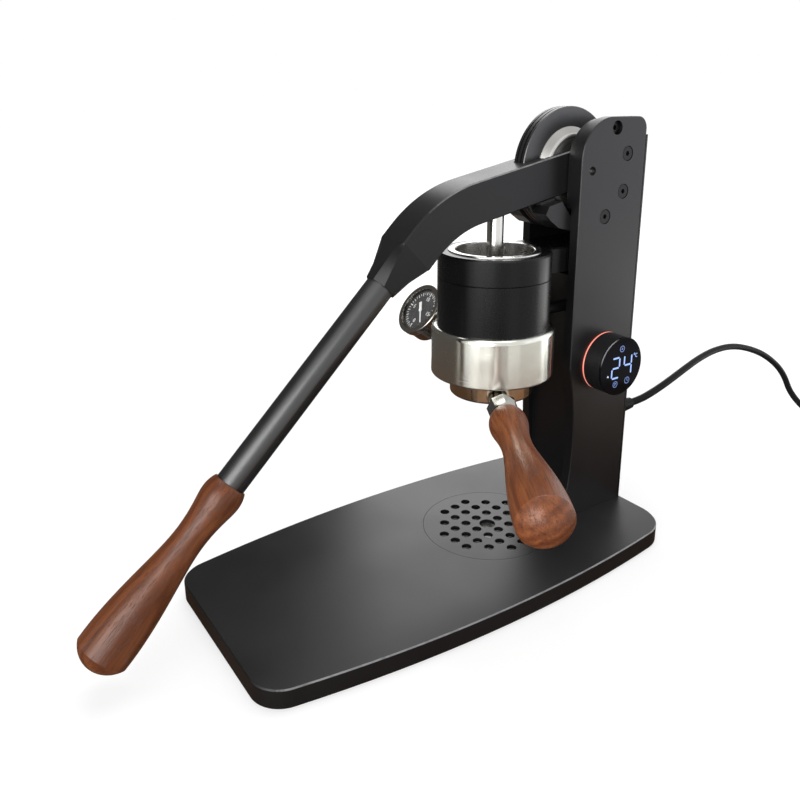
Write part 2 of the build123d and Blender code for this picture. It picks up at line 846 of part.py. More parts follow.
rod_head_bottom = slot_z - rod_head_half_height
rod_head_top = slot_z + rod_head_half_height
rod_head = block(-rod_radius, rod_radius, head_front, head_back, rod_head_bottom, rod_head_top)
rod_head = fillet(rod_head.edges().filter_by(Axis.X), rod_head_round)
rod_head -= disc_x(slot_radius, -rod_radius, rod_radius, pin_y_least, slot_z)
rod_head -= disc_x(slot_radius, -rod_radius, rod_radius, pin_y_most, slot_z)
slot_low = slot_z - slot_radius
slot_high = slot_z + slot_radius
rod_head -= block(-rod_radius, rod_radius, pin_y_least, pin_y_most, slot_low, slot_high)
nodes["piston_rod"] = rod_head + disc_z(rod_radius, rod_bottom, rod_head_bottom + rod_head_overlap)

# Group bracket: a ring held by an arm between the plates

chamber_outer = bore_radius + chamber_wall
bracket = disc_z(group_radius, bracket_bottom, bracket_top)
bracket = chamfer(bracket.edges().group_by(Axis.Z)[-1], bracket_chamfer)
bracket = chamfer(bracket.edges().group_by(Axis.Z)[0], seam_chamfer)
bracket_arm = block(-arm_half_width, arm_half_width, 0, arm_back, bracket_bottom, bracket_top)
bracket += chamfer(bracket_arm.edges().group_by(Axis.Z)[-1], arm_chamfer)
shoulder_front = plate_front + bracket_shoulder_inset
bracket += block(-plate_inner, plate_inner, shoulder_front, arm_back, bracket_bottom, bracket_top)
flange_seat = chamber_top - chamber_flange_height
bracket -= disc_z(chamber_outer + seat_clearance, bracket_bottom, bracket_top)
bracket -= disc_z(chamber_flange_radius + seat_clearance, flange_seat, bracket_top)
dowel_end = plate_inner + dowel_depth
dowels = [disc_x(dowel_radius, -dowel_end, dowel_end, y, dowel_z) for y in (dowel_front, dowel_back)]
for dowel in dowels:
    bracket -= dowel
nodes["group_bracket"] = bracket
nodes["bracket_dowels"] = joined(dowels)

# Brew chamber, heater, sleeve

chamber = disc_z(chamber_outer, chamber_bottom, chamber_top)
chamber += disc_z(chamber_flange_radius, flange_seat, chamber_top)
chamber -= disc_z(bore_radius, chamber_bottom, chamber_top)
chamber = fillet(chamber.edges().group_by(Axis.Z)[-1], chamber_round)
nodes["brew_chamber"] = chamber

heater_inner = chamber_outer + seat_clearance
heater = tube_z(heater_inner + heater_thickness, heater_inner, heater_bottom, heater_top)
nodes["heater_band"] = heater
sleeve = tube_z(group_radius, group_radius - sleeve_wall, collar_top, bracket_bottom)
sleeve = chamfer(sleeve.edges().group_by(Axis.Z)[-1], seam_chamfer)

screen_top = chamber_bottom + screen_thickness
screen = disc_z(bore_radius, chamber_bottom, screen_top)
count = int(screen_reach / screen_pitch) + 1
for a in range(-count, count + 1):
    for b in range(-count, count + 1):
        x = a * screen_pitch
        y = b * screen_pitch
        if math.hypot(x, y) <= screen_reach:
            screen -= disc_z(screen_hole / 2, chamber_bottom, screen_top, x, y)
nodes["shower_screen"] = screen

# Collar with the bayonet ledge for the portafilter

cavity_top = chamber_bottom
lip_top = collar_bottom + collar_lip_height
collar = disc_z(collar_radius, collar_bottom, collar_top)
collar = fillet(collar.edges().group_by(Axis.Z)[-1], collar_round_top)
collar = fillet(collar.edges().group_by(Axis.Z)[0], collar_round_bottom)
collar -= disc_z(heater_inner, collar_bottom, collar_top)
collar -= disc_z(collar_cavity_radius, lip_top, cavity_top)
collar -= disc_z(collar_lip_radius, collar_bottom, lip_top)


def sector(radius, middle_angle, width_angle, z_from, z_to):
    """A wedge of a disc about the group axis."""
    half = math.radians(width_angle / 2)
    start = math.radians(middle_angle) - half
    end = math.radians(middle_angle) + half
    middle = math.radians(middle_angle)
    first = (radius * math.cos(start), radius * math.sin(start))
    last = (radius * math.cos(end), radius * math.sin(end))
    top = (radius * math.cos(middle), radius * math.sin(middle))
    face = make_face([Line((0, 0), first), ThreePointArc(first, top, last), Line(last, (0, 0))])
    return Pos(0, 0, z_from) * extrude(face, amount=z_to - z_from)


lug_azimuths = (holder_azimuth + 90.0, holder_azimuth - 90.0)
for azimuth in lug_azimuths:
    collar -= sector(collar_cavity_radius, azimuth - holder_twist, lug_gap_angle, collar_bottom, lip_top)

gasket_bottom = cavity_top - gasket_height
nodes["group_gasket"] = tube_z(collar_cavity_radius - seat_clearance, gasket_inner, gasket_bottom, cavity_top)

# Pressure gauge: local Z points out of the dial, and the stem goes from the case into the collar

tilt = math.radians(gauge_tilt)
stem_y = gauge_y + stem_depth * math.cos(tilt)
stem_z = collar_top - stem_drop
gauge_x = -math.sqrt(collar_radius ** 2 - gauge_y ** 2) - gauge_gap - gauge_radius
gauge_z = stem_z + stem_depth * math.sin(tilt)
gauge_plane = Plane(
    origin=(gauge_x, gauge_y, gauge_z),
    x_dir=(1, 0, 0),
    z_dir=(0, -math.cos(tilt), math.sin(tilt)),
)
gauge_axis = Axis(gauge_plane.origin, gauge_plane.z_dir)


def on_gauge(radius, depth_from, depth_to):
    """A disc on the gauge's axis, depths measured back from the bezel's front."""
    return gauge_plane * disc_z(radius, -depth_to, -depth_from)


bezel = on_gauge(gauge_radius, 0, bezel_height)
bezel = fillet(bezel.edges(), bezel_round)
bezel -= on_gauge(gauge_radius - bezel_wall - bezel_lip, 0, bezel_height)
bezel -= on_gauge(gauge_radius - bezel_wall, lens_depth, bezel_height)
nodes["gauge_bezel"] = bezel
lens_radius = gauge_radius - bezel_wall - seat_clearance
nodes["gauge_lens"] = on_gauge(lens_radius, lens_depth, lens_depth + lens_thickness)
dial_back = dial_depth + dial_thickness
dial = on_gauge(lens_radius, dial_depth, dial_back)
dial -= on_gauge(needle_shaft_radius + seat_clearance, dial_depth, dial_back)
nodes["gauge_dial"] = dial
can = on_gauge(case_radius, bezel_height, gauge_depth)
can = fillet(can.edges().group_by(gauge_axis)[0], case_round)
case = can + on_gauge(lens_radius, dial_back, bezel_height)
case -= on_gauge(needle_shaft_radius + seat_clearance, dial_back, dial_back + needle_bore_depth)
nodes["gauge_case"] = case
needle_back = dial_depth - needle_lift
needle_front = needle_back - needle_thickness
pointer_half = needle_width / 2
tail_half = needle_tail_width / 2
needle = gauge_plane * block(-pointer_half, pointer_half, 0, needle_length, -needle_back, -needle_front)
needle += gauge_plane * block(-tail_half, tail_half, -needle_tail, 0, -needle_back, -needle_front)
needle += on_gauge(needle_hub_radius, needle_front, needle_back)
needle += on_gauge(needle_shaft_radius, needle_back, dial_back + needle_shaft_length)
nodes["gauge_needle"] = needle.rotate(gauge_axis, needle_rest_angle)

stem_bar = disc_x(stem_radius, gauge_x, 0, stem_y, stem_z)
nodes["gauge_stem"] = stem_bar - can - disc_z(chamber_outer, base_top, chamber_top)
collar -= stem_bar
nodes["group_collar"] = collar

# Wiring conduit from the heater to the column

conduit = disc_y(conduit_radius, 0, panel_back + conduit_overlap, conduit_x, conduit_z)
conduit -= disc_z(group_radius - sleeve_wall, collar_top, bracket_bottom)
conduit = conduit.solids().sort_by(Axis.Y)[-1]
sleeve -= conduit
front_panel -= conduit
nodes["heater_sleeve"] = sleeve
nodes["heater_conduit"] = conduit
nodes["front_panel"] = front_panel

# Temperature display

ring_end = column_half + light_ring_thickness
housing_end = ring_end + display_depth - display_glass_thickness
light_ring = disc_x(display_radius, column_half, ring_end, display_y, display_z)
light_ring -= disc_x(display_radius - light_ring_width, column_half, ring_end, display_y, display_z)
nodes["light_ring"] = light_ring
housing = disc_x(display_radius, ring_end, housing_end, display_y, display_z)
housing += disc_x(display_radius - light_ring_width, column_half, ring_end, display_y, display_z)
housing += disc_x(display_boss_radius, plate_inner - display_boss_reach, column_half, display_y, display_z)
nodes["display_housing"] = housing
glass_end = housing_end + display_glass_thickness
glass = disc_x(display_radius, housing_end, glass_end, display_y, display_z)
nodes["display_glass"] = chamfer(glass.edges().group_by(Axis.X)[-1], display_glass_chamfer)

board_to = plate_inner - board_gap
board_from = board_to - board_thickness
half_width = board_width / 2
half_height = board_height / 2
board = block(
    board_from, board_to, display_y - half_width, display_y + half_width,
    display_z - half_height, display_z + half_height,
)
standoff_y = half_width - standoff_inset
standoff_z = half_height - standoff_inset
for y in (display_y - standoff_y, display_y + standoff_y):
    for z in (display_z - standoff_z, display_z + standoff_z):
        board += disc_x(standoff_radius, board_to, plate_inner, y, z)
nodes["control_board"] = board
nodes["power_unit"] = block(
    -power_half_width, power_half_width, power_front, power_back, base_top, base_top + power_height
)

# Portafilter: ring body with two lugs, neck, wooden grip and basket

holder_top = gasket_bottom - rim_gap - basket_wall
lug_bottom = lip_top + lug_clearance
holder = disc_z(holder_radius, holder_bottom, holder_top)
holder = fillet(holder.edges().group_by(Axis.Z)[0], holder_round)
for azimuth in lug_azimuths:
    holder += sector(lug_radius, azimuth, lug_angle, lug_bottom, lug_bottom + lug_height)
holder_inner = holder_radius - holder_wall
holder -= disc_z(holder_inner, holder_bottom, holder_top)

basket_outer = holder_inner - seat_clearance
rim_top = holder_top + basket_wall
basket = disc_z(basket_outer, rim_top - basket_depth, rim_top)
basket += disc_z(holder_radius, holder_top, rim_top)
basket = fillet(basket.edges().group_by(Axis.Z)[0], basket_round)
hollow = disc_z(basket_outer - basket_wall, rim_top - basket_depth + basket_wall, rim_top)
hollow = fillet(hollow.edges().group_by(Axis.Z)[0], basket_round - basket_wall)
nodes["filter_basket"] = basket - hollow

azimuth = math.radians(holder_azimuth)
droop = math.radians(neck_droop)
outward = Vector(
    math.cos(azimuth) * math.cos(droop), math.sin(azimuth) * math.cos(droop), -math.sin(droop)
)
sideways = Vector(-math.sin(azimuth), math.cos(azimuth), 0)
neck_root = Vector(math.cos(azimuth), math.sin(azimuth), 0) * neck_start + Vector(0, 0, holder_axis_z)
holder_plane = Plane(origin=neck_root, x_dir=sideways, z_dir=outward)
ferrule_start = neck_length - ferrule_length
neck = holder_plane * disc_z(neck_radius, 0, ferrule_start)
ferrule_face = Pos(0, 0, ferrule_start) * RegularPolygon(ferrule_radius, 8)
neck += holder_plane * extrude(ferrule_face, amount=ferrule_length, taper=ferrule_taper)
neck -= disc_z(holder_radius, holder_bottom - neck_length, holder_top)
neck += holder_plane * disc_z(holder_stud_radius, neck_length, neck_length + holder_stud_length)
nodes["portafilter_neck"] = neck
nodes["portafilter_body"] = holder

holder_grip = holder_plane * Pos(0, 0, neck_length) * grip
holder_grip -= holder_plane * disc_z(holder_stud_radius, neck_length, neck_length + holder_stud_length)
nodes["portafilter_grip"] = holder_grip

# Power lead: gland, free cord, coil, tie and plug

gland_length = cord_route[0][1] - cover_back
gland_edges = [
    Line((0, 0), (gland_flange_radius, 0)),
    Line((gland_flange_radius, 0), (gland_flange_radius, gland_flange_length)),
    Line((gland_flange_radius, gland_flange_length), (gland_root_radius, gland_flange_length)),
    Line((gland_root_radius, gland_flange_length), (gland_tip_radius, gland_length)),
    Line((gland_tip_radius, gland_length), (0, gland_length)),
    Line((0, gland_length), (0, 0)),
]
gland_plane = Plane(origin=(gland_x, cover_back, gland_z), x_dir=(1, 0, 0), z_dir=(0, 1, 0))
gland = turned(gland_edges)
for groove in range(gland_grooves):
    groove_from = gland_flange_length + groove * gland_groove_pitch
    groove_to = groove_from + gland_groove_width
    gland -= tube_z(gland_flange_radius, gland_groove_radius, groove_from, groove_to)
gland = gland_plane * gland
gland += disc_y(gland_throat_radius, plate_back, cover_back, gland_x, gland_z)
nodes["cable_gland"] = gland


def arc_radii(points):
    """The largest arc that each corner's two runs allow."""
    radii = []
    for before, here, after in zip(points, points[1:], points[2:]):
        run_in = Vector(*here) - Vector(*before)
        run_out = Vector(*after) - Vector(*here)
        turn = math.radians(run_in.get_angle(run_out))
        radii.append(cord_corner_share * min(run_in.length, run_out.length) / math.tan(turn / 2))
    return radii


radii = arc_radii(cord_route)
cord_path = FilletPolyline(*cord_route, radius=radii)
cord_section = Plane(origin=cord_path @ 0, z_dir=cord_path % 0) * Circle(cord_radius)
nodes["power_cord"] = sweep(cord_section, path=cord_path)
print("cord radii", [round(radius) for radius in radii], "free length", round(cord_path.length))

climb_from = (coil_turns - coil_climb_turns) / 2
climb_to = (coil_turns + coil_climb_turns) / 2


def coil_point(turns):
    """The coil's middle line: in on the lower layer, out again on the upper one."""
    radius = coil_outer - coil_pitch * min(turns, coil_turns - turns)
    share = min(max((turns - climb_from) / (climb_to - climb_from), 0.0), 1.0)
    lift = coil_layer * share * share * (3 - 2 * share)
    angle = math.pi / 2 - 2 * math.pi * turns
    x = coil_x + radius * math.cos(angle)
    y = coil_y + radius * math.sin(angle)
    return Vector(x, y, cord_rest_z + lift)


def coil_direction(turns):
    """The direction of the coil's middle line."""
    step = 0.001
    first = max(turns - step, 0.0)
    last = min(turns + step, coil_turns)
    return (coil_point(last) - coil_point(first)).normalized()


def biarc(start, start_way, end, end_way):
    """Two arcs that join two points along their directions."""
    chord = end - start
    ways = start_way + end_way
    spread = 2 * (1 - start_way.dot(end_way))
    middle = chord.dot(ways)
    reach = (-middle + math.sqrt(middle * middle + spread * chord.dot(chord))) / spread
    joint = (start + end + (start_way - end_way) * reach) * 0.5
    first = TangentArc(start, joint, tangent=start_way)
    return [first, TangentArc(joint, end, tangent=first % 1)]


quarters = int(round(coil_turns * 4))
stops = [coil_turns * i / quarters for i in range(quarters + 1)]
lead = 2 * cord_radius
coil_start = coil_point(0) - Vector(1, 0, 0) * lead
coil_edges = [Line(coil_start, coil_point(0))]
ways = [coil_direction(turns) for turns in stops]
ways[0] = Vector(1, 0, 0)
ways[-1] = Vector(1, 0, 0)
for i in range(quarters):
    coil_edges += biarc(coil_point(stops[i]), ways[i], coil_point(stops[i + 1]), ways[i + 1])
coil_end = coil_point(coil_turns) + Vector(1, 0, 0) * coil_tail
coil_edges.append(Line(coil_point(coil_turns), coil_end))
coil_path = Wire(coil_edges)
coil_section = Plane(origin=coil_start, z_dir=(1, 0, 0)) * Circle(cord_radius)
nodes["cord_coil"] = sweep(coil_section, path=coil_path)

samples = [coil_path.position_at(i / coil_samples) for i in range(coil_samples + 1)]
near = int(6 * cord_radius * coil_samples / coil_path.length)
least = min((a - b).length for i, a in enumerate(samples) for b in samples[i + near:])
print("coil length", round(coil_path.length), "least gap to itself", round(least - 2 * cord_radius, 2))

tie_angle_radius = coil_outer - coil_pitch * (coil_turns / 2 - tie_turn)
tie_inner_radius = math.sqrt((tie_angle_radius - cord_radius) ** 2 - (tie_width / 2) ** 2)
tie_inner_x = coil_x + tie_inner_radius - tie_clearance
tie_outer_x = coil_x + coil_outer - coil_pitch * tie_turn + cord_radius + tie_clearance
tie_low = cord_rest_z - cord_radius - tie_clearance
tie_high = cord_rest_z + coil_layer + cord_radius + tie_clearance
tie_from = coil_y - tie_width / 2
tie_to = coil_y + tie_width / 2
tie = block(
    tie_inner_x - tie_thickness, tie_outer_x + tie_thickness, tie_from, tie_to,
    tie_low - tie_thickness, tie_high + tie_thickness,
)
nodes["cord_tie"] = tie - block(tie_inner_x, tie_outer_x, tie_from, tie_to, tie_low, tie_high)

plug_from = coil_end.X
plug_to = plug_from + plug_length
plug_z = coil_end.Z
plug_half_height = plug_z - plug_floor_gap
nose = Plane(origin=coil_end, x_dir=(0, 1, 0), z_dir=(1, 0, 0))
plug_section = RectangleRounded(2 * plug_half_width, 2 * plug_half_height, plug_round)
plug_small = nose * RectangleRounded(plug_nose_width, plug_nose_height, plug_nose_round)
plug_large = nose.offset(plug_taper_length) * plug_section
plug_body = loft([plug_small, plug_large])
plug_body += extrude(plug_large, amount=plug_length - plug_taper_length)
nodes["plug_body"] = plug_body
pins = []
for side in (-0.5, 0.5):
    pin_side = coil_end.Y + side * plug_pin_spacing
    pin = disc_x(plug_pin_radius, plug_to, plug_to + plug_pin_length, pin_side, plug_z)
    pins.append(fillet(pin.edges().sort_by(Axis.X)[-1], plug_pin_round))
nodes["plug_pins"] = joined(pins)

print("rod pin", round(pin_y, 3), round(pin_z, 3), "travel", round(piston_travel, 3), "swing", lever_swing)
print("gauge axis", gauge_plane.origin, gauge_plane.z_dir)

os.makedirs("parts", exist_ok=True)
for name, solid in nodes.items():
    solid.label = name
    export_step(solid, f"parts/{name}.step")
print(len(nodes), "nodes")
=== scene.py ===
import math

import bmesh
import bpy
from mathutils import Matrix, Vector


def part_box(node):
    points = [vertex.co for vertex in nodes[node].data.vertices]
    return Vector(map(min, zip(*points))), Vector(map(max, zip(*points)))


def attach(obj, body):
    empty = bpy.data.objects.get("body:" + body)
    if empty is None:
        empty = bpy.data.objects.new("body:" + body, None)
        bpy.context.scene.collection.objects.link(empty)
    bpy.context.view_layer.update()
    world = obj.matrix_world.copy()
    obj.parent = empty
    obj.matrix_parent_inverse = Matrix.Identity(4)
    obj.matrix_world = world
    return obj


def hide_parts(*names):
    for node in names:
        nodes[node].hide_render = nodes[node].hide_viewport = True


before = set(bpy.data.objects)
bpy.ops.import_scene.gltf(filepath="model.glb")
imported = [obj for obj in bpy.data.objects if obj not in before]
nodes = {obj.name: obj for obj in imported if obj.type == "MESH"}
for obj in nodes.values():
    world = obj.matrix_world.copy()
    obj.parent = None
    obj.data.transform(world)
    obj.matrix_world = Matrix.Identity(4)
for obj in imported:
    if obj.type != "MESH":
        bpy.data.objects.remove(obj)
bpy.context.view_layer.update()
scene = bpy.context.scene
scene.view_settings.view_transform = "Standard"

MM = 0.001
ORIGIN = (0, 0, 0)
X_AXIS = (1, 0, 0)
Z_AXIS = (0, 0, 1)

# Camera, fitted to the photograph: focal length and centre in its pixels, angles in degrees

FOCAL, CENTRE_X, CENTRE_Y, PHOTO_SIZE = 782.161, 427.3, 335.959, 800
AZIMUTH, PITCH, ROLL = (math.radians(angle) for angle in (54.888, 17.091, 0.106))
CAMERA_AT = (0.423413, -0.356362, 0.340568)
SENSOR_WIDTH = 36
NEAREST_SEEN = 0.01

camera_data = bpy.data.cameras.new("camera")
camera_data.sensor_width = SENSOR_WIDTH
camera_data.lens = FOCAL * SENSOR_WIDTH / PHOTO_SIZE
camera_data.shift_x = (PHOTO_SIZE / 2 - CENTRE_X) / PHOTO_SIZE
camera_data.shift_y = (CENTRE_Y - PHOTO_SIZE / 2) / PHOTO_SIZE
camera_data.clip_start = NEAREST_SEEN
camera = bpy.data.objects.new("camera", camera_data)
scene.collection.objects.link(camera)
scene.camera = camera
back = Vector((math.sin(AZIMUTH) * math.cos(PITCH), -math.cos(AZIMUTH) * math.cos(PITCH), math.sin(PITCH)))
level = Vector((math.cos(AZIMUTH), math.sin(AZIMUTH), 0))
upward = back.cross(level)
right = level * math.cos(ROLL) + upward * math.sin(ROLL)
up = upward * math.cos(ROLL) - level * math.sin(ROLL)
turn = Matrix((right, up, back)).transposed().to_4x4()
camera.matrix_world = Matrix.Translation(CAMERA_AT) @ turn


# Node helpers (cosines of the angles between which a surface counts as facing a direction)

FACING_FROM, FACING_FULL = 0.90, 0.97


class Shader:
    """A material with short calls for its nodes."""

    def __init__(self, name, colour=(0.5, 0.5, 0.5), roughness=0.5, metallic=0.0):
        self.material = bpy.data.materials.new(name)
        self.material.use_nodes = True
        self.tree = self.material.node_tree
        self.surface = self.tree.nodes["Principled BSDF"]
        self.set("Base Color", (*colour, 1))
        self.set("Roughness", roughness)
        self.set("Metallic", metallic)

    def set(self, socket, value):
        self.surface.inputs[socket].default_value = value

    def join(self, output, socket):
        self.tree.links.new(output, self.surface.inputs[socket])

    def fill(self, socket, value):
        """Links a node's output to an input, or sets the input."""
        if isinstance(value, bpy.types.NodeSocket):
            self.tree.links.new(value, socket)
        else:
            socket.default_value = value

    def add(self, kind, *ordered, **named):
        """A node with its first inputs in order, or inputs by name."""
        node = self.tree.nodes.new(kind)
        for index, value in enumerate(ordered):
            self.fill(node.inputs[index], value)
        for key, value in named.items():
            self.fill(node.inputs[key.replace("_", " ")], value)
        return node

    def vectors(self, operation, first, second=ORIGIN):
        """A sum or product of two vectors, or their dot product, or the first one's length."""
        node = self.add("ShaderNodeVectorMath", first, second)
        node.operation = operation
        return node.outputs["Value" if operation in ("LENGTH", "DOT_PRODUCT") else "Vector"]

    def place(self, stretch=(1, 1, 1), axis=None, origin=ORIGIN):
        """The piece's own coordinates in metres, along an axis if one is given, stretched."""
        point = self.add("ShaderNodeTexCoord").outputs["Object"]
        shifted = self.vectors("ADD", point, tuple(-c for c in origin))
        if axis is not None:
            node = self.add("ShaderNodeVectorRotate", Vector=shifted)
            node.rotation_type = "EULER_XYZ"
            node.inputs["Rotation"].default_value = axis.rotation_difference(Vector(Z_AXIS)).to_euler()
            shifted = node.outputs[0]
        return self.vectors("MULTIPLY", shifted, stretch)

    def noise(self, vector, scale, detail=3.0, roughness=0.55):
        node = self.add("ShaderNodeTexNoise", Vector=vector, Scale=scale, Detail=detail, Roughness=roughness)
        return node.outputs[0]

    def ramp(self, value, stops):
        node = self.add("ShaderNodeValToRGB", value)
        elements = node.color_ramp.elements
        while len(elements) < len(stops):
            elements.new(0.5)
        for element, (position, colour) in zip(elements, stops):
            element.position = position
            element.color = (*colour, 1)
        return node.outputs[0]

    def spread(self, value, low, high, low_to, high_to):
        """Maps a range of values to another."""
        return self.add("ShaderNodeMapRange", value, low, high, low_to, high_to).outputs[0]

    def sum(self, first, second, operation="ADD"):
        node = self.add("ShaderNodeMath", first, second)
        node.operation = operation
        return node.outputs[0]

    def mix(self, factor, first, second):
        """A colour between two."""
        node = self.tree.nodes.new("ShaderNodeMix")
        node.data_type = "RGBA"
        self.fill(node.inputs[0], factor)
        for index, value in ((6, first), (7, second)):
            self.fill(node.inputs[index], (*value, 1) if isinstance(value, tuple) else value)
        return node.outputs[2]

    def facing(self, direction):
        """1 where the surface faces a direction of its piece, 0 from about 25 degrees off."""
        geometry = self.add("ShaderNodeNewGeometry")
        normal = self.add("ShaderNodeVectorTransform", geometry.outputs["True Normal"])
        normal.vector_type = "NORMAL"
        normal.convert_from = "WORLD"
        normal.convert_to = "OBJECT"
        share = self.vectors("DOT_PRODUCT", normal.outputs[0], Vector(direction).normalized())
        return self.spread(share, FACING_FROM, FACING_FULL, 0.0, 1.0)

    def bump(self, height, distance):
        node = self.add("ShaderNodeBump", Strength=1.0, Distance=distance, Height=height)
        self.join(node.outputs[0], "Normal")


# Kinds of surface (noise scales in cells a metre, depths in metres; most of a noise lies from low to high)

NOISE_LOW, NOISE_HIGH = 0.3, 0.7
# Painted highlight: the light grey given to bevels of a coat that face one way
BEVEL_HIGHLIGHT_TONE = (0.20, 0.20, 0.205)


def dimmed(colour, share):
    return tuple(share * c for c in colour)


def coat(name, dark, light, roughness, specular=0.5, grain=1400.0, depth=0.00002, edges=None):
    """Satin coat: fine grain, faint clouds, slightly uneven gloss, a painted highlight on edges that face one
    way.
    """
    shader = Shader(name, roughness=roughness)
    shader.set("Specular IOR Level", specular)
    place = shader.place()
    cloud = shader.noise(place, scale=14.0, detail=2.0)
    fine = shader.noise(place, scale=grain, detail=2.0)
    paint = shader.mix(cloud, dark, light)
    if edges:
        # Painted highlight on the edges that face that way, broken up by noise
        highlight_breakup = shader.spread(shader.noise(place, scale=160.0), 0.3, 0.6, 0.55, 1.0)
        paint = shader.mix(shader.sum(shader.facing(edges), highlight_breakup, "MULTIPLY"), paint, BEVEL_HIGHLIGHT_TONE)
    shader.join(paint, "Base Color")
    cloud_gloss = shader.spread(cloud, NOISE_LOW, NOISE_HIGH, -0.04, 0.04)
    grain_gloss = shader.spread(fine, NOISE_LOW, NOISE_HIGH, -0.03, 0.03)
    shader.join(shader.sum(shader.sum(cloud_gloss, grain_gloss), roughness), "Roughness")
    shader.bump(fine, depth)
    return shader.material


WOOD_STOPS = (
    (0.0, (0.200, 0.068, 0.025)), (0.4, (0.150, 0.046, 0.016)),
    (0.7, (0.104, 0.029, 0.010)), (1.0, (0.064, 0.017, 0.006)),
)
STREAK_TONE = (0.052, 0.014, 0.005)
PORE_TONE = (0.030, 0.008, 0.003)
WOOD_SPECULAR = 0.34
WOOD_DEPTH = 0.00012


def wood(name, axis, origin, seed, tone):
    """Oiled walnut: long grain along the grip, bands of darker growth, open pores."""
    shader = Shader(name)
    shader.set("Specular IOR Level", WOOD_SPECULAR)
    moved = shader.vectors("ADD", shader.place(axis=axis, origin=origin), seed)

    def along(share):
        """Coordinates drawn out along the grain."""
        return shader.vectors("MULTIPLY", moved, (1, 1, share))

    warp = shader.noise(along(0.12), scale=42.0, detail=2.0)
    wave = shader.add(
        "ShaderNodeTexWave", Vector=along(0.10), Scale=46.0, Distortion=4.0, Detail=3.0, Detail_Scale=1.6
    )
    streaks = shader.noise(along(0.035), scale=420.0, detail=4.0, roughness=0.6)
    fine = shader.noise(along(0.02), scale=1500.0, roughness=0.6)
    bands = shader.spread(wave.outputs["Fac"], 0.0, 1.0, 0.0, 0.32)
    growth = shader.sum(bands, shader.spread(warp, 0.25, 0.75, 0.0, 0.55))
    base = shader.ramp(growth, [(position, dimmed(colour, tone)) for position, colour in WOOD_STOPS])
    streaked = shader.mix(shader.spread(streaks, 0.4, 0.7, 0.0, 0.6), base, STREAK_TONE)
    pores = shader.spread(fine, 0.56, 0.68, 0.0, 0.65)
    shader.join(shader.mix(pores, streaked, PORE_TONE), "Base Color")
    shader.join(shader.spread(streaks, NOISE_LOW, NOISE_HIGH, 0.26, 0.37), "Roughness")
    ridges = shader.spread(streaks, 0.0, 1.0, 0.0, 0.3)
    shader.bump(shader.sum(shader.spread(pores, 0.0, 1.0, 1.0, 0.0), ridges), WOOD_DEPTH)
    return shader.material


def turned_steel(name, colour, roughness, axis, origin, pitch, depth=0.000012, anisotropy=0.0, grooves=0.0):
    """Steel turned on a lathe: fine rings about an axis, uneven gloss, dark grooves if asked for."""
    shader = Shader(name, colour, roughness, metallic=1.0)
    across = tuple(1 - c for c in axis)
    radius = shader.vectors("LENGTH", shader.place(stretch=across, origin=origin))
    height = shader.vectors("LENGTH", shader.place(stretch=axis, origin=origin))
    rings = shader.add("ShaderNodeTexNoise", Scale=1.0 / pitch, Detail=2.0)
    rings.noise_dimensions = "1D"
    shader.fill(rings.inputs["W"], shader.sum(radius, height))
    lines = rings.outputs[0]
    smear = shader.noise(shader.place(), scale=60.0)
    tone = shader.mix(shader.spread(smear, 0.35, 0.7, 0.0, 0.25), colour, dimmed(colour, 0.8))
    if grooves:
        tone = shader.mix(shader.spread(lines, 0.46, 0.60, 0.0, grooves), tone, dimmed(colour, 0.4))
    shader.join(tone, "Base Color")
    line_gloss = shader.spread(lines, NOISE_LOW, NOISE_HIGH, -0.03, 0.04)
    smear_gloss = shader.spread(smear, NOISE_LOW, NOISE_HIGH, roughness - 0.03, roughness + 0.05)
    shader.join(shader.sum(line_gloss, smear_gloss), "Roughness")
    shader.bump(lines, depth)
    if anisotropy:
        shader.set("Anisotropic", anisotropy)
        shader.set("Anisotropic Rotation", 0.25)
        tangent = shader.tree.nodes.new("ShaderNodeTangent")
        tangent.direction_type = "RADIAL"
        tangent.axis = "Z" if axis == Z_AXIS else "X"
        shader.join(tangent.outputs[0], "Tangent")
    return shader.material


def chrome(name, colour, roughness, cast=0.0):
    """Polished metal with faint smudges, wavy if it was cast."""
    shader = Shader(name, colour, roughness, metallic=1.0)
    smudge = shader.noise(shader.place(), scale=120.0, detail=4.0, roughness=0.6)
    shader.join(shader.spread(smudge, 0.4, 0.7, roughness, roughness + 0.07), "Roughness")
    tone = shader.mix(shader.spread(smudge, 0.3, 0.8, 0.0, 0.2), colour, dimmed(colour, 0.85))
    shader.join(tone, "Base Color")
    if cast:
        shader.bump(shader.noise(shader.place(), scale=150.0, detail=0.0), cast)
    return shader.material


def moulded(name, dark, light, roughness, grain=2200.0, depth=0.00003, specular=0.5):
    """Moulded plastic or rubber with a fine skin."""
    shader = Shader(name, roughness=roughness)
    shader.set("Specular IOR Level", specular)
    place = shader.place()
    skin = shader.add("ShaderNodeTexVoronoi", Vector=place, Scale=grain).outputs[0]
    cloud = shader.noise(place, scale=40.0)
    shader.join(shader.mix(cloud, dark, light), "Base Color")
    shader.join(shader.spread(cloud, NOISE_LOW, NOISE_HIGH, roughness - 0.06, roughness + 0.06), "Roughness")
    shader.bump(skin, depth)
    return shader.material


def glowing(name, colour, strength):
    """Lit segments of the display, slightly uneven."""
    shader = Shader(name, (0.02, 0.02, 0.02), 0.3)
    cloud = shader.noise(shader.place(), scale=900.0, detail=2.0)
    uneven = shader.spread(cloud, NOISE_LOW, NOISE_HIGH, 0.0, 1.0)
    shader.join(shader.mix(uneven, dimmed(colour, 0.82), colour), "Emission Color")
    shader.set("Emission Strength", strength)
    return shader.material


# Where the pieces are, repeated from the CAD in metres

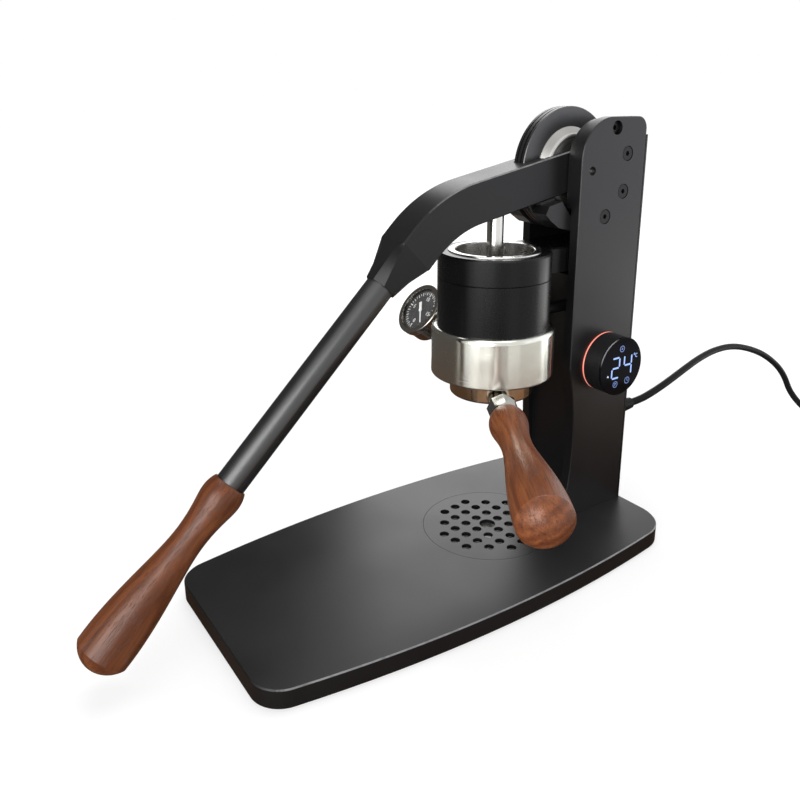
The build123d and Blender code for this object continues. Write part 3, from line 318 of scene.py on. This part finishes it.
DISPLAY = Vector((47.6, 88.8, 143.2)) * MM
RING_X, RING_HALF = 30.2 * MM, 0.6 * MM
GAUGE = Vector((-67.7699, -19.7, 180.405)) * MM
GAUGE_OUT = Vector((0, -0.799685, 0.60042))
GAUGE_UP = Vector((0, 0.60042, 0.799685))
DIAL_DEPTH = 3.6 * MM
SCALE_ZERO = math.radians(173.3)
PIVOT = Vector((0, 63.4, 289.6)) * MM
TUBE_SLOPE = math.radians(44.85)
TUBE_AXIS = Vector((0, -math.cos(TUBE_SLOPE), -math.sin(TUBE_SLOPE)))
HOLDER_AZIMUTH, HOLDER_DROOP = math.radians(-30.5), math.radians(4.0)
HOLDER_REACH, HOLDER_Z = 29.5 * MM, 135.3 * MM
HOLDER_AXIS = Vector((
    math.cos(HOLDER_AZIMUTH) * math.cos(HOLDER_DROOP),
    math.sin(HOLDER_AZIMUTH) * math.cos(HOLDER_DROOP),
    -math.sin(HOLDER_DROOP),
))
HOLDER_ROOT = Vector((
    HOLDER_REACH * math.cos(HOLDER_AZIMUTH), HOLDER_REACH * math.sin(HOLDER_AZIMUTH), HOLDER_Z
))
LEVER_GRIP_AT = (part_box("lever_grip")[0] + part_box("lever_grip")[1]) / 2


# Materials

# Directions of the edges that get a painted highlight: bevels of the coats, and the rim of the display glass
HIGHLIGHT_BEVEL_FACING = (1, 0, 1)
LIT_RIM = (1, -0.8, 0.8)

base_coat = coat(
    "base_coat", (0.005, 0.005, 0.0055), (0.008, 0.008, 0.0086), roughness=0.36, specular=0.5,
    edges=HIGHLIGHT_BEVEL_FACING,
)
black_coat = coat("black_coat", (0.004, 0.004, 0.0045), (0.006, 0.006, 0.0066), roughness=0.36, specular=0.45)
black_lever = coat(
    "black_lever", (0.007, 0.007, 0.0075), (0.010, 0.010, 0.0107), roughness=0.36, specular=0.28,
    edges=HIGHLIGHT_BEVEL_FACING,
)
black_tube = coat("black_tube", (0.006, 0.006, 0.0064), (0.009, 0.009, 0.0095), roughness=0.34, specular=1.0)
black_sleeve = coat(
    "black_sleeve", (0.0035, 0.0035, 0.0038), (0.005, 0.005, 0.0054), roughness=0.26, specular=0.19
)
black_oxide = coat(
    "black_oxide", (0.004, 0.004, 0.0044), (0.008, 0.008, 0.0085), roughness=0.3, specular=0.25, grain=3000.0
)
white_paint = coat("white_paint", (0.80, 0.80, 0.78), (0.86, 0.86, 0.84), roughness=0.45)

collar_steel = turned_steel(
    "collar_steel", (0.72, 0.725, 0.66), 0.20, Z_AXIS, ORIGIN, pitch=0.0004, anisotropy=0.8
)
chamber_steel = turned_steel(
    "chamber_steel", (0.66, 0.65, 0.63), 0.22, Z_AXIS, ORIGIN, pitch=0.0004, anisotropy=0.8
)
rod_steel = turned_steel("rod_steel", (0.66, 0.65, 0.62), 0.16, Z_AXIS, ORIGIN, pitch=0.0003)
hub_steel = turned_steel(
    "hub_steel", (0.62, 0.61, 0.58), 0.32, X_AXIS, PIVOT, pitch=0.0012, depth=0.00004, grooves=0.7
)
inner_steel = turned_steel("inner_steel", (0.55, 0.54, 0.52), 0.28, Z_AXIS, ORIGIN, pitch=0.0005)

bright = chrome("bright", (0.70, 0.68, 0.65), roughness=0.06)
neck_chrome = chrome("neck_chrome", (0.42, 0.41, 0.395), roughness=0.05, cast=0.0009)
holder_metal = chrome("holder_metal", (0.58, 0.48, 0.36), roughness=0.12)
bezel_steel = chrome("bezel_steel", (0.56, 0.53, 0.49), roughness=0.14)
# Painted reflection: the case's dark brown tint stands in for brown surroundings mirrored in its chrome
case_chrome = chrome("case_chrome", (0.42, 0.36, 0.30), roughness=0.1)
bronze = chrome("bronze", (0.55, 0.36, 0.16), roughness=0.28)
aluminium = chrome("aluminium", (0.60, 0.60, 0.61), roughness=0.35)

lever_wood = wood("lever_wood", TUBE_AXIS, LEVER_GRIP_AT, seed=(0.31, 0.17, 0.05), tone=1.0)
holder_wood = wood("holder_wood", HOLDER_AXIS, HOLDER_ROOT, seed=(0.12, 0.43, 0.29), tone=1.45)

rubber = moulded("rubber", (0.012, 0.012, 0.012), (0.022, 0.022, 0.022), roughness=0.7)
plastic = moulded("plastic", (0.007, 0.007, 0.0075), (0.011, 0.011, 0.0115), roughness=0.34, specular=0.05)
housing = moulded(
    "housing", (0.008, 0.008, 0.009), (0.012, 0.012, 0.013), roughness=0.30, grain=3000.0, depth=0.00001
)
cord_skin = moulded(
    "cord_skin", (0.009, 0.009, 0.0095), (0.014, 0.014, 0.0145), roughness=0.32, grain=1800.0, depth=0.00004,
    specular=0.03,
)

digit_light = glowing("digit_light", (0.34, 0.52, 1.0), strength=1.3)
icon_light = glowing("icon_light", (0.24, 0.38, 0.90), strength=0.7)
mark_light = glowing("mark_light", (0.75, 0.82, 1.0), strength=1.0)

dial_paint = Shader("dial_paint", roughness=0.55)
dial_noise = dial_paint.noise(dial_paint.place(), scale=700.0, detail=2.0)
dial_paint.join(dial_paint.mix(dial_noise, (0.010, 0.010, 0.0105), (0.016, 0.016, 0.0165)), "Base Color")
dial_paint.bump(dial_noise, 0.00001)

lens_glass = Shader("lens_glass", (1, 1, 1), roughness=0.0)
lens_glass.set("Transmission Weight", 1.0)
lens_glass.set("IOR", 1.2)
lens_dust = lens_glass.noise(lens_glass.place(), scale=400.0, detail=4.0)
lens_glass.join(lens_glass.spread(lens_dust, 0.55, 0.8, 0.0, 0.03), "Roughness")

face_glass = Shader("face_glass")
face_glass.set("Specular IOR Level", 0.04)
face_smear = face_glass.noise(face_glass.place(), scale=90.0, detail=4.0, roughness=0.6)
face_glass.join(face_glass.spread(face_smear, 0.35, 0.75, 0.06, 0.14), "Roughness")
face_tone = face_glass.mix(face_smear, (0.003, 0.003, 0.0045), (0.005, 0.005, 0.0065))
# Painted highlight: the rim of the glass that faces forward and up is painted light grey
face_glass.join(face_glass.mix(face_glass.facing(LIT_RIM), face_tone, (0.22, 0.22, 0.23)), "Base Color")

ring_light = Shader("ring_light", (0.55, 0.10, 0.05), roughness=0.4)
ring_point = ring_light.place(stretch=X_AXIS, origin=(RING_X, 0, 0))
ring_core = ring_light.spread(ring_light.vectors("LENGTH", ring_point), 0.0, RING_HALF, 1.0, 0.0)
ring_cloud = ring_light.noise(ring_light.place(), scale=120.0, detail=2.0)
ring_light.join(ring_light.mix(ring_core, (0.90, 0.16, 0.11), (1.0, 0.48, 0.41)), "Emission Color")
ring_light.join(ring_light.spread(ring_cloud, NOISE_LOW, NOISE_HIGH, 0.85, 1.15), "Emission Strength")

board_paint = Shader("board_paint", roughness=0.4)
board_cells = board_paint.add("ShaderNodeTexVoronoi", Vector=board_paint.place(), Scale=320.0)
board_cells.distance = "MANHATTAN"
board_lines = board_paint.spread(board_cells.outputs[0], 0.42, 0.5, 0.0, 1.0)
board_paint.join(board_paint.mix(board_lines, (0.012, 0.10, 0.04), (0.05, 0.22, 0.09)), "Base Color")
board_paint.bump(board_lines, 0.00004)


def wear(material, *names):
    """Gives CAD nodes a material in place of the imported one."""
    for name in names:
        mesh = nodes[name].data
        mesh.materials.clear()
        mesh.materials.append(material)


wear(base_coat, "base_plate", "drip_grille")
wear(black_coat, "left_plate", "right_plate", "back_cover", "front_panel")
wear(black_coat, "left_bearing", "right_bearing", "left_stop", "right_stop", "heater_conduit")
wear(black_sleeve, "heater_sleeve", "group_bracket")
wear(black_lever, "lever_arm")
wear(black_tube, "lever_tube", "pivot_wheel")
wear(black_oxide, "plate_screws", "cap_screws", "base_screws", "cover_screws")
wear(collar_steel, "group_collar")
wear(chamber_steel, "brew_chamber", "piston_head")
wear(rod_steel, "piston_rod", "pivot_axle", "rod_pin", "bracket_dowels")
wear(hub_steel, "left_hub", "right_hub")
wear(inner_steel, "shower_screen", "drip_cup", "filter_basket")
wear(bright, "plug_pins")
wear(neck_chrome, "portafilter_neck")
wear(holder_metal, "portafilter_body")
wear(bezel_steel, "gauge_bezel")
wear(case_chrome, "gauge_case")
wear(lever_wood, "lever_grip")
wear(holder_wood, "portafilter_grip")
wear(rubber, "base_pad", "stop_bumpers", "piston_seals", "group_gasket")
wear(bronze, "pivot_bushes", "gauge_stem")
wear(aluminium, "heater_band")
wear(lens_glass.material, "gauge_lens")
wear(dial_paint.material, "gauge_dial")
wear(white_paint, "gauge_needle")
wear(face_glass.material, "display_glass")
wear(ring_light.material, "light_ring")
wear(housing, "display_housing")
wear(plastic, "power_unit", "cable_gland", "plug_body", "cord_tie")
wear(board_paint.material, "control_board")


# Pieces built here


def piece(name, mesh, material, body):
    """A finished mesh as a piece of the object."""
    mesh.materials.append(material)
    made = bpy.data.objects.new(name, mesh)
    scene.collection.objects.link(made)
    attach(made, body)


def slab(outlines, place, thickness):
    """Flat shapes with a thickness. place(x, y, lift) gives a point in the frame."""
    shape = bmesh.new()
    for outline in outlines:
        low = [shape.verts.new(place(x, y, 0.0)) for x, y in outline]
        high = [shape.verts.new(place(x, y, thickness)) for x, y in outline]
        shape.faces.new(high)
        shape.faces.new(low[::-1])
        for i in range(len(outline)):
            j = (i + 1) % len(outline)
            shape.faces.new((low[i], low[j], high[j], high[i]))
    mesh = bpy.data.meshes.new("slab")
    shape.to_mesh(mesh)
    shape.free()
    return mesh


def bar(start, end, half, point=0.0):
    """Outline of a bar between two points, with pointed ends if asked for."""
    a, b = Vector(start), Vector(end)
    way = (b - a).normalized()
    side = Vector((-way.y, way.x)) * half
    tip = way * point
    if point:
        corners = (a - tip, a - side, b - side, b + tip, b + side, a + side)
    else:
        corners = (a - side, b - side, b + side, a + side)
    return [tuple(corner) for corner in corners]


def arc(centre, radius, half, count, start=0.0, end=360.0):
    """Outlines of short bars along an arc, angles in degrees from +x."""
    inner, outer = [], []
    for i in range(count + 1):
        angle = math.radians(start + (end - start) * i / count)
        way = Vector((math.cos(angle), math.sin(angle)))
        inner.append(tuple(Vector(centre) + way * (radius - half)))
        outer.append(tuple(Vector(centre) + way * (radius + half)))
    return [[inner[i], inner[i + 1], outer[i + 1], outer[i]] for i in range(count)]


# Display: two digits, degree sign, icons (millimetres from the display's middle)

GLASS_GAP, LIT_THICKNESS = 0.02, 0.05
SEGMENT_HALF, SEGMENT_GAP, SEGMENT_POINT = 0.68, 0.35, 0.8
DIGIT_WIDE, DIGIT_HALF_HIGH = 8.0, 8.0
SEGMENTS = {"2": "abged", "4": "fgbc"}


def on_display(x, y, lift):
    return DISPLAY + Vector((GLASS_GAP + lift, x, y)) * MM


def digit(figure, left_x, middle_y):
    """Seven-segment digit from its left edge and the height of its middle bar."""
    right_x = left_x + DIGIT_WIDE
    low_y, high_y = middle_y - DIGIT_HALF_HIGH, middle_y + DIGIT_HALF_HIGH
    ends = {
        "a": ((left_x, high_y), (right_x, high_y)),
        "b": ((right_x, middle_y), (right_x, high_y)),
        "c": ((right_x, low_y), (right_x, middle_y)),
        "d": ((left_x, low_y), (right_x, low_y)),
        "e": ((left_x, low_y), (left_x, middle_y)),
        "f": ((left_x, middle_y), (left_x, high_y)),
        "g": ((left_x, middle_y), (right_x, middle_y)),
    }
    outlines = []
    for key in SEGMENTS[figure]:
        a, b = (Vector(end) for end in ends[key])
        inset = (b - a).normalized() * (SEGMENT_HALF + SEGMENT_GAP)
        outlines.append(bar(a + inset, b - inset, SEGMENT_HALF, SEGMENT_HALF * SEGMENT_POINT))
    return outlines


digits = digit("2", -10.2, -0.3) + digit("4", 3.1, 0.3)
piece("display_digits", slab(digits, on_display, LIT_THICKNESS), digit_light, "stand")

signs = arc((14.1, 7.6), 0.65, 0.2, 14) + arc((16.7, 6.2), 1.35, 0.24, 12, 60, 300)
piece("display_degree", slab(signs, on_display, LIT_THICKNESS), digit_light, "stand")

icons = arc((-0.3, 14.2), 2.3, 0.3, 24)
icons += [bar((-0.3, 13.4), (-0.3, 15.2), 0.35), bar((-1.2, 14.0), (0.6, 14.0), 0.3)]
icons += arc((-5.6, -13.4), 2.3, 0.28, 24)
icons += [bar((-6.6, -14.3), (-4.7, -12.4), 0.3), bar((-6.5, -12.6), (-5.2, -12.6), 0.3)]
icons += arc((7.5, -12.5), 2.5, 0.28, 24)
icons += [bar((7.5, -12.5), (7.5, -10.9), 0.28), bar((7.5, -12.5), (8.6, -13.1), 0.28)]
piece("display_icons", slab(icons, on_display, LIT_THICKNESS), icon_light, "stand")

mark = [[(-15.4, -6.2), (-13.3, -6.4), (-13.6, -5.2), (-14.6, -4.6)]]
piece("display_mark", slab(mark, on_display, LIT_THICKNESS), mark_light, "stand")


# Gauge: ticks and numerals printed on the dial (millimetres from the dial's middle)

DIAL_GAP, PRINT_THICKNESS = 0.03, 0.02
SWEEP = math.radians(270.0)
TICKS, LONG_EVERY, MIDDLE_EVERY = 30, 10, 2
TICK_OUTER = 15.8
LONG_TICK, MIDDLE_TICK, SHORT_TICK = (3.4, 0.45), (2.8, 0.32), (2.0, 0.22)
FIGURES = ("0", "5", "10", "15")
FIGURE_RADIUS, FIGURE_SIZE, FIGURE_WEIGHT, FIGURE_THICKNESS = 9.9, 4.6, 0.05, 0.01


def on_dial(x, y, lift):
    flat = Vector(X_AXIS) * x + GAUGE_UP * y
    return GAUGE + (flat + GAUGE_OUT * (DIAL_GAP + lift)) * MM - GAUGE_OUT * DIAL_DEPTH


ticks = []
for i in range(TICKS + 1):
    angle = SCALE_ZERO - SWEEP * i / TICKS
    way = Vector((-math.sin(angle), math.cos(angle)))
    reach, half = SHORT_TICK
    if i % MIDDLE_EVERY == 0:
        reach, half = MIDDLE_TICK
    if i % LONG_EVERY == 0:
        reach, half = LONG_TICK
    ticks.append(bar(way * (TICK_OUTER - reach), way * TICK_OUTER, half))
piece("gauge_ticks", slab(ticks, on_dial, PRINT_THICKNESS), white_paint, "stand")

dial_turn = Matrix((Vector(X_AXIS), GAUGE_UP, GAUGE_OUT)).transposed().to_4x4()
for i, figure in enumerate(FIGURES):
    angle = SCALE_ZERO - SWEEP * i / (len(FIGURES) - 1)
    text = bpy.data.curves.new(f"gauge_figure_{figure}", "FONT")
    text.body = figure
    text.size = FIGURE_SIZE * MM
    text.offset = FIGURE_WEIGHT * MM
    text.align_x = "CENTER"
    text.align_y = "CENTER"
    text.extrude = FIGURE_THICKNESS * MM
    text.materials.append(white_paint)
    figure_piece = bpy.data.objects.new(f"gauge_figure_{figure}", text)
    scene.collection.objects.link(figure_piece)
    spot = on_dial(-math.sin(angle) * FIGURE_RADIUS, math.cos(angle) * FIGURE_RADIUS, PRINT_THICKNESS)
    figure_piece.matrix_world = Matrix.Translation(spot) @ dial_turn
    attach(figure_piece, "stand")


# Power lead: the route of the CAD cord, then its coil (millimetres)

ROUTE = [
    (15.0, 142.0, 90.5), (15.0, 154.0, 90.5), (13.8, 172.0, 92.9), (10.4, 195.5, 96.2),
    (4.0, 228.0, 100.6), (-3.6, 259.5, 102.9), (-9.7, 291.5, 103.4), (-13.0, 324.5, 100.7),
    (-13.0, 356.0, 92.2), (-10.4, 386.0, 79.0), (-5.0, 412.5, 57.5), (0.0, 426.0, 28.5),
    (27.0, 436.0, 7.0), (44.0, 444.0, 4.3), (64.5, 450.0, 4.3), (85.8, 450.0, 4.3),
]
COIL_X, COIL_Y, REST_Z = 92.0, 410.0, 4.3
COIL_OUTER, COIL_PITCH, COIL_LAYER = 40.0, 6.9, 6.8
COIL_TURNS, COIL_CLIMB_TURNS = 3.0, 0.5
POINTS_A_TURN = 16
TAIL = 30.0
CORD_DIAMETER = 6.2

lead_points = list(ROUTE)
for i in range(1, int(COIL_TURNS * POINTS_A_TURN)):
    turns = i / POINTS_A_TURN
    radius = (COIL_OUTER - COIL_PITCH * min(turns, COIL_TURNS - turns)) / math.cos(math.pi / POINTS_A_TURN)
    climbed = (turns - COIL_TURNS / 2) / COIL_CLIMB_TURNS + 0.5
    share = min(max(climbed, 0.0), 1.0)
    lift = COIL_LAYER * share * share * (3 - 2 * share)
    angle = math.pi / 2 - 2 * math.pi * turns
    lead_points.append((COIL_X + radius * math.cos(angle), COIL_Y + radius * math.sin(angle), REST_Z + lift))
end_z = REST_Z + COIL_LAYER
lead_points += [(COIL_X, COIL_Y + COIL_OUTER, end_z), (COIL_X + TAIL, COIL_Y + COIL_OUTER, end_z)]

lead_curve = bpy.data.curves.new("lead", "CURVE")
lead_curve.dimensions = "3D"
spline = lead_curve.splines.new("NURBS")
spline.points.add(len(lead_points) - 1)
for point, spot in zip(spline.points, lead_points):
    point.co = (*(c * MM for c in spot), 1.0)
spline.order_u = 3
spline.use_endpoint_u = True
spline.resolution_u = 8
lead_curve.bevel_depth = CORD_DIAMETER / 2 * MM
lead_curve.bevel_resolution = 5
lead_curve.use_fill_caps = True
lead_curve.materials.append(cord_skin)
lead = bpy.data.objects.new("lead", lead_curve)
scene.collection.objects.link(lead)
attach(lead, "stand")
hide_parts("power_cord", "cord_coil")


# Floor and world: white to camera, glossy and transmission rays, plain to the light on the object

FLOOR_HALF = 9
FLOOR_TONE, FLOOR_SEEN_TONE = 0.8, 0.35
GLOW_NEAR_TO, GLOW_FAR_FROM = 0.45, 1.1
GLOW_NEAR, GLOW_FAR = 0.68, 0.97
WORLD_LIGHT, WORLD_SEEN = 0.28, 1.0


def seen(tree):
    """1 for camera, glossy and transmission rays."""
    path = tree.nodes.new("ShaderNodeLightPath")
    result = path.outputs["Is Camera Ray"]
    for kind in ("Is Glossy Ray", "Is Transmission Ray"):
        either = tree.nodes.new("ShaderNodeMath")
        either.operation = "MAXIMUM"
        tree.links.new(result, either.inputs[0])
        tree.links.new(path.outputs[kind], either.inputs[1])
        result = either.outputs[0]
    return result


floor_mesh = bpy.data.meshes.new("floor")
floor_corners = [(x * FLOOR_HALF, y * FLOOR_HALF, 0) for x, y in ((-1, -1), (1, -1), (1, 1), (-1, 1))]
floor_mesh.from_pydata(floor_corners, [], [(0, 1, 2, 3)])
floor = bpy.data.objects.new("floor", floor_mesh)
scene.collection.objects.link(floor)

# The floor glows a little less near the object, so that its shadow stays to be seen
floor_paint = bpy.data.materials.new("floor_paint")
floor_paint.use_nodes = True
tree = floor_paint.node_tree
tree.nodes.clear()
matt = tree.nodes.new("ShaderNodeBsdfDiffuse")
matt.inputs["Color"].default_value = (FLOOR_TONE, FLOOR_TONE, FLOOR_TONE, 1)
faint = tree.nodes.new("ShaderNodeBsdfDiffuse")
faint.inputs["Color"].default_value = (FLOOR_SEEN_TONE, FLOOR_SEEN_TONE, FLOOR_SEEN_TONE, 1)
glow = tree.nodes.new("ShaderNodeEmission")
floor_point = tree.nodes.new("ShaderNodeTexCoord")
away = tree.nodes.new("ShaderNodeVectorMath")
away.operation = "LENGTH"
fade = tree.nodes.new("ShaderNodeMapRange")
for index, value in enumerate((GLOW_NEAR_TO, GLOW_FAR_FROM, GLOW_NEAR, GLOW_FAR), 1):
    fade.inputs[index].default_value = value
both = tree.nodes.new("ShaderNodeAddShader")
choice = tree.nodes.new("ShaderNodeMixShader")
result = tree.nodes.new("ShaderNodeOutputMaterial")
tree.links.new(floor_point.outputs["Object"], away.inputs[0])
tree.links.new(away.outputs["Value"], fade.inputs[0])
tree.links.new(fade.outputs[0], glow.inputs["Strength"])
tree.links.new(faint.outputs[0], both.inputs[0])
tree.links.new(glow.outputs[0], both.inputs[1])
tree.links.new(seen(tree), choice.inputs[0])
tree.links.new(matt.outputs[0], choice.inputs[1])
tree.links.new(both.outputs[0], choice.inputs[2])
tree.links.new(choice.outputs[0], result.inputs[0])
floor_mesh.materials.append(floor_paint)

world = bpy.data.worlds.new("world")
scene.world = world
world.use_nodes = True
tree = world.node_tree
background = tree.nodes["Background"]
background.inputs["Color"].default_value = (1, 1, 1, 1)
strength = tree.nodes.new("ShaderNodeMapRange")
strength.inputs["To Min"].default_value = WORLD_LIGHT
strength.inputs["To Max"].default_value = WORLD_SEEN
tree.links.new(seen(tree), strength.inputs[0])
tree.links.new(strength.outputs[0], background.inputs["Strength"])


# Cards that only shiny surfaces see, in place of the photo's brown table and dark or light sides

CARD_STEPS = 24
TABLE_Z = 0.0008


def card(name, angles, first_edge, second_edge, tone):
    """A card swept round the object between two angles, in degrees from +X, and between two edges,
    each a radius and a height."""
    shape = bmesh.new()
    posts = []
    for i in range(CARD_STEPS + 1):
        angle = math.radians(angles[0] + (angles[1] - angles[0]) * i / CARD_STEPS)
        way = Vector((math.cos(angle), math.sin(angle), 0))
        ends = [way * radius + Vector((0, 0, height)) for radius, height in (first_edge, second_edge)]
        posts.append([shape.verts.new(end) for end in ends])
    for first, second in zip(posts, posts[1:]):
        shape.faces.new((first[0], second[0], second[1], first[1]))
    mesh = bpy.data.meshes.new(name)
    shape.to_mesh(mesh)
    shape.free()
    paint = bpy.data.materials.new(name)
    paint.use_nodes = True
    paint.node_tree.nodes.clear()
    shine = paint.node_tree.nodes.new("ShaderNodeEmission")
    shine.inputs["Color"].default_value = (*tone, 1)
    output = paint.node_tree.nodes.new("ShaderNodeOutputMaterial")
    paint.node_tree.links.new(shine.outputs[0], output.inputs[0])
    mesh.materials.append(paint)
    made = bpy.data.objects.new(name, mesh)
    scene.collection.objects.link(made)
    made.visible_camera = False
    made.visible_diffuse = False
    made.visible_transmission = False
    made.visible_shadow = False


card("near_table_card", (0, 360), (0.02, TABLE_Z), (0.27, TABLE_Z), (0.09, 0.05, 0.03))
card("table_card", (-75, 60), (0.27, TABLE_Z), (0.46, TABLE_Z), (0.32, 0.185, 0.11))
card("far_table_card", (60, 285), (0.27, TABLE_Z), (0.46, TABLE_Z), (0.12, 0.075, 0.05))
card("front_card", (-62, -12), (0.56, TABLE_Z), (0.90, TABLE_Z), (0.18, 0.17, 0.17))
card("left_card", (164, 257), (0.46, 0.0), (0.46, 0.9), (0.10, 0.095, 0.09))
card("left_edge_card", (257, 272), (0.46, 0.0), (0.46, 0.9), (0.55, 0.53, 0.50))
card("front_strip", (-45, -34), (0.5, 0.0), (0.5, 0.07), (0.28, 0.26, 0.23))
card("right_card", (10, 82), (0.62, 0.0), (0.62, 0.10), (0.72, 0.70, 0.66))
card("right_light", (20, 100), (0.62, 0.10), (0.62, 0.7), (1.30, 1.31, 1.38))
card("right_glow", (58, 88), (0.61, 0.0), (0.61, 0.12), (3.2, 3.15, 3.1))


# Lamps


def lamp(name, place, aim, size, power):
    """A soft square lamp turned to a point."""
    data = bpy.data.lights.new(name, "AREA")
    data.shape = "SQUARE"
    data.size = size
    data.energy = power
    made = bpy.data.objects.new(name, data)
    scene.collection.objects.link(made)
    made.location = place
    made.rotation_mode = "QUATERNION"
    made.rotation_quaternion = (Vector(aim) - Vector(place)).to_track_quat("-Z", "Y")


lamp("top", (-0.2, 0.1, 1.7), aim=(0, 0, 0.15), size=1.2, power=14)
lamp("key", (0.72, -1.22, 0.48), aim=(0, -0.15, 0.13), size=1.1, power=20)
lamp("back", (-1.35, 0.84, 0.95), aim=(0, 0, 0.05), size=1.1, power=7)
lamp("side", (0.35, 1.3, 0.75), aim=(0, 0, 0.15), size=0.7, power=6)
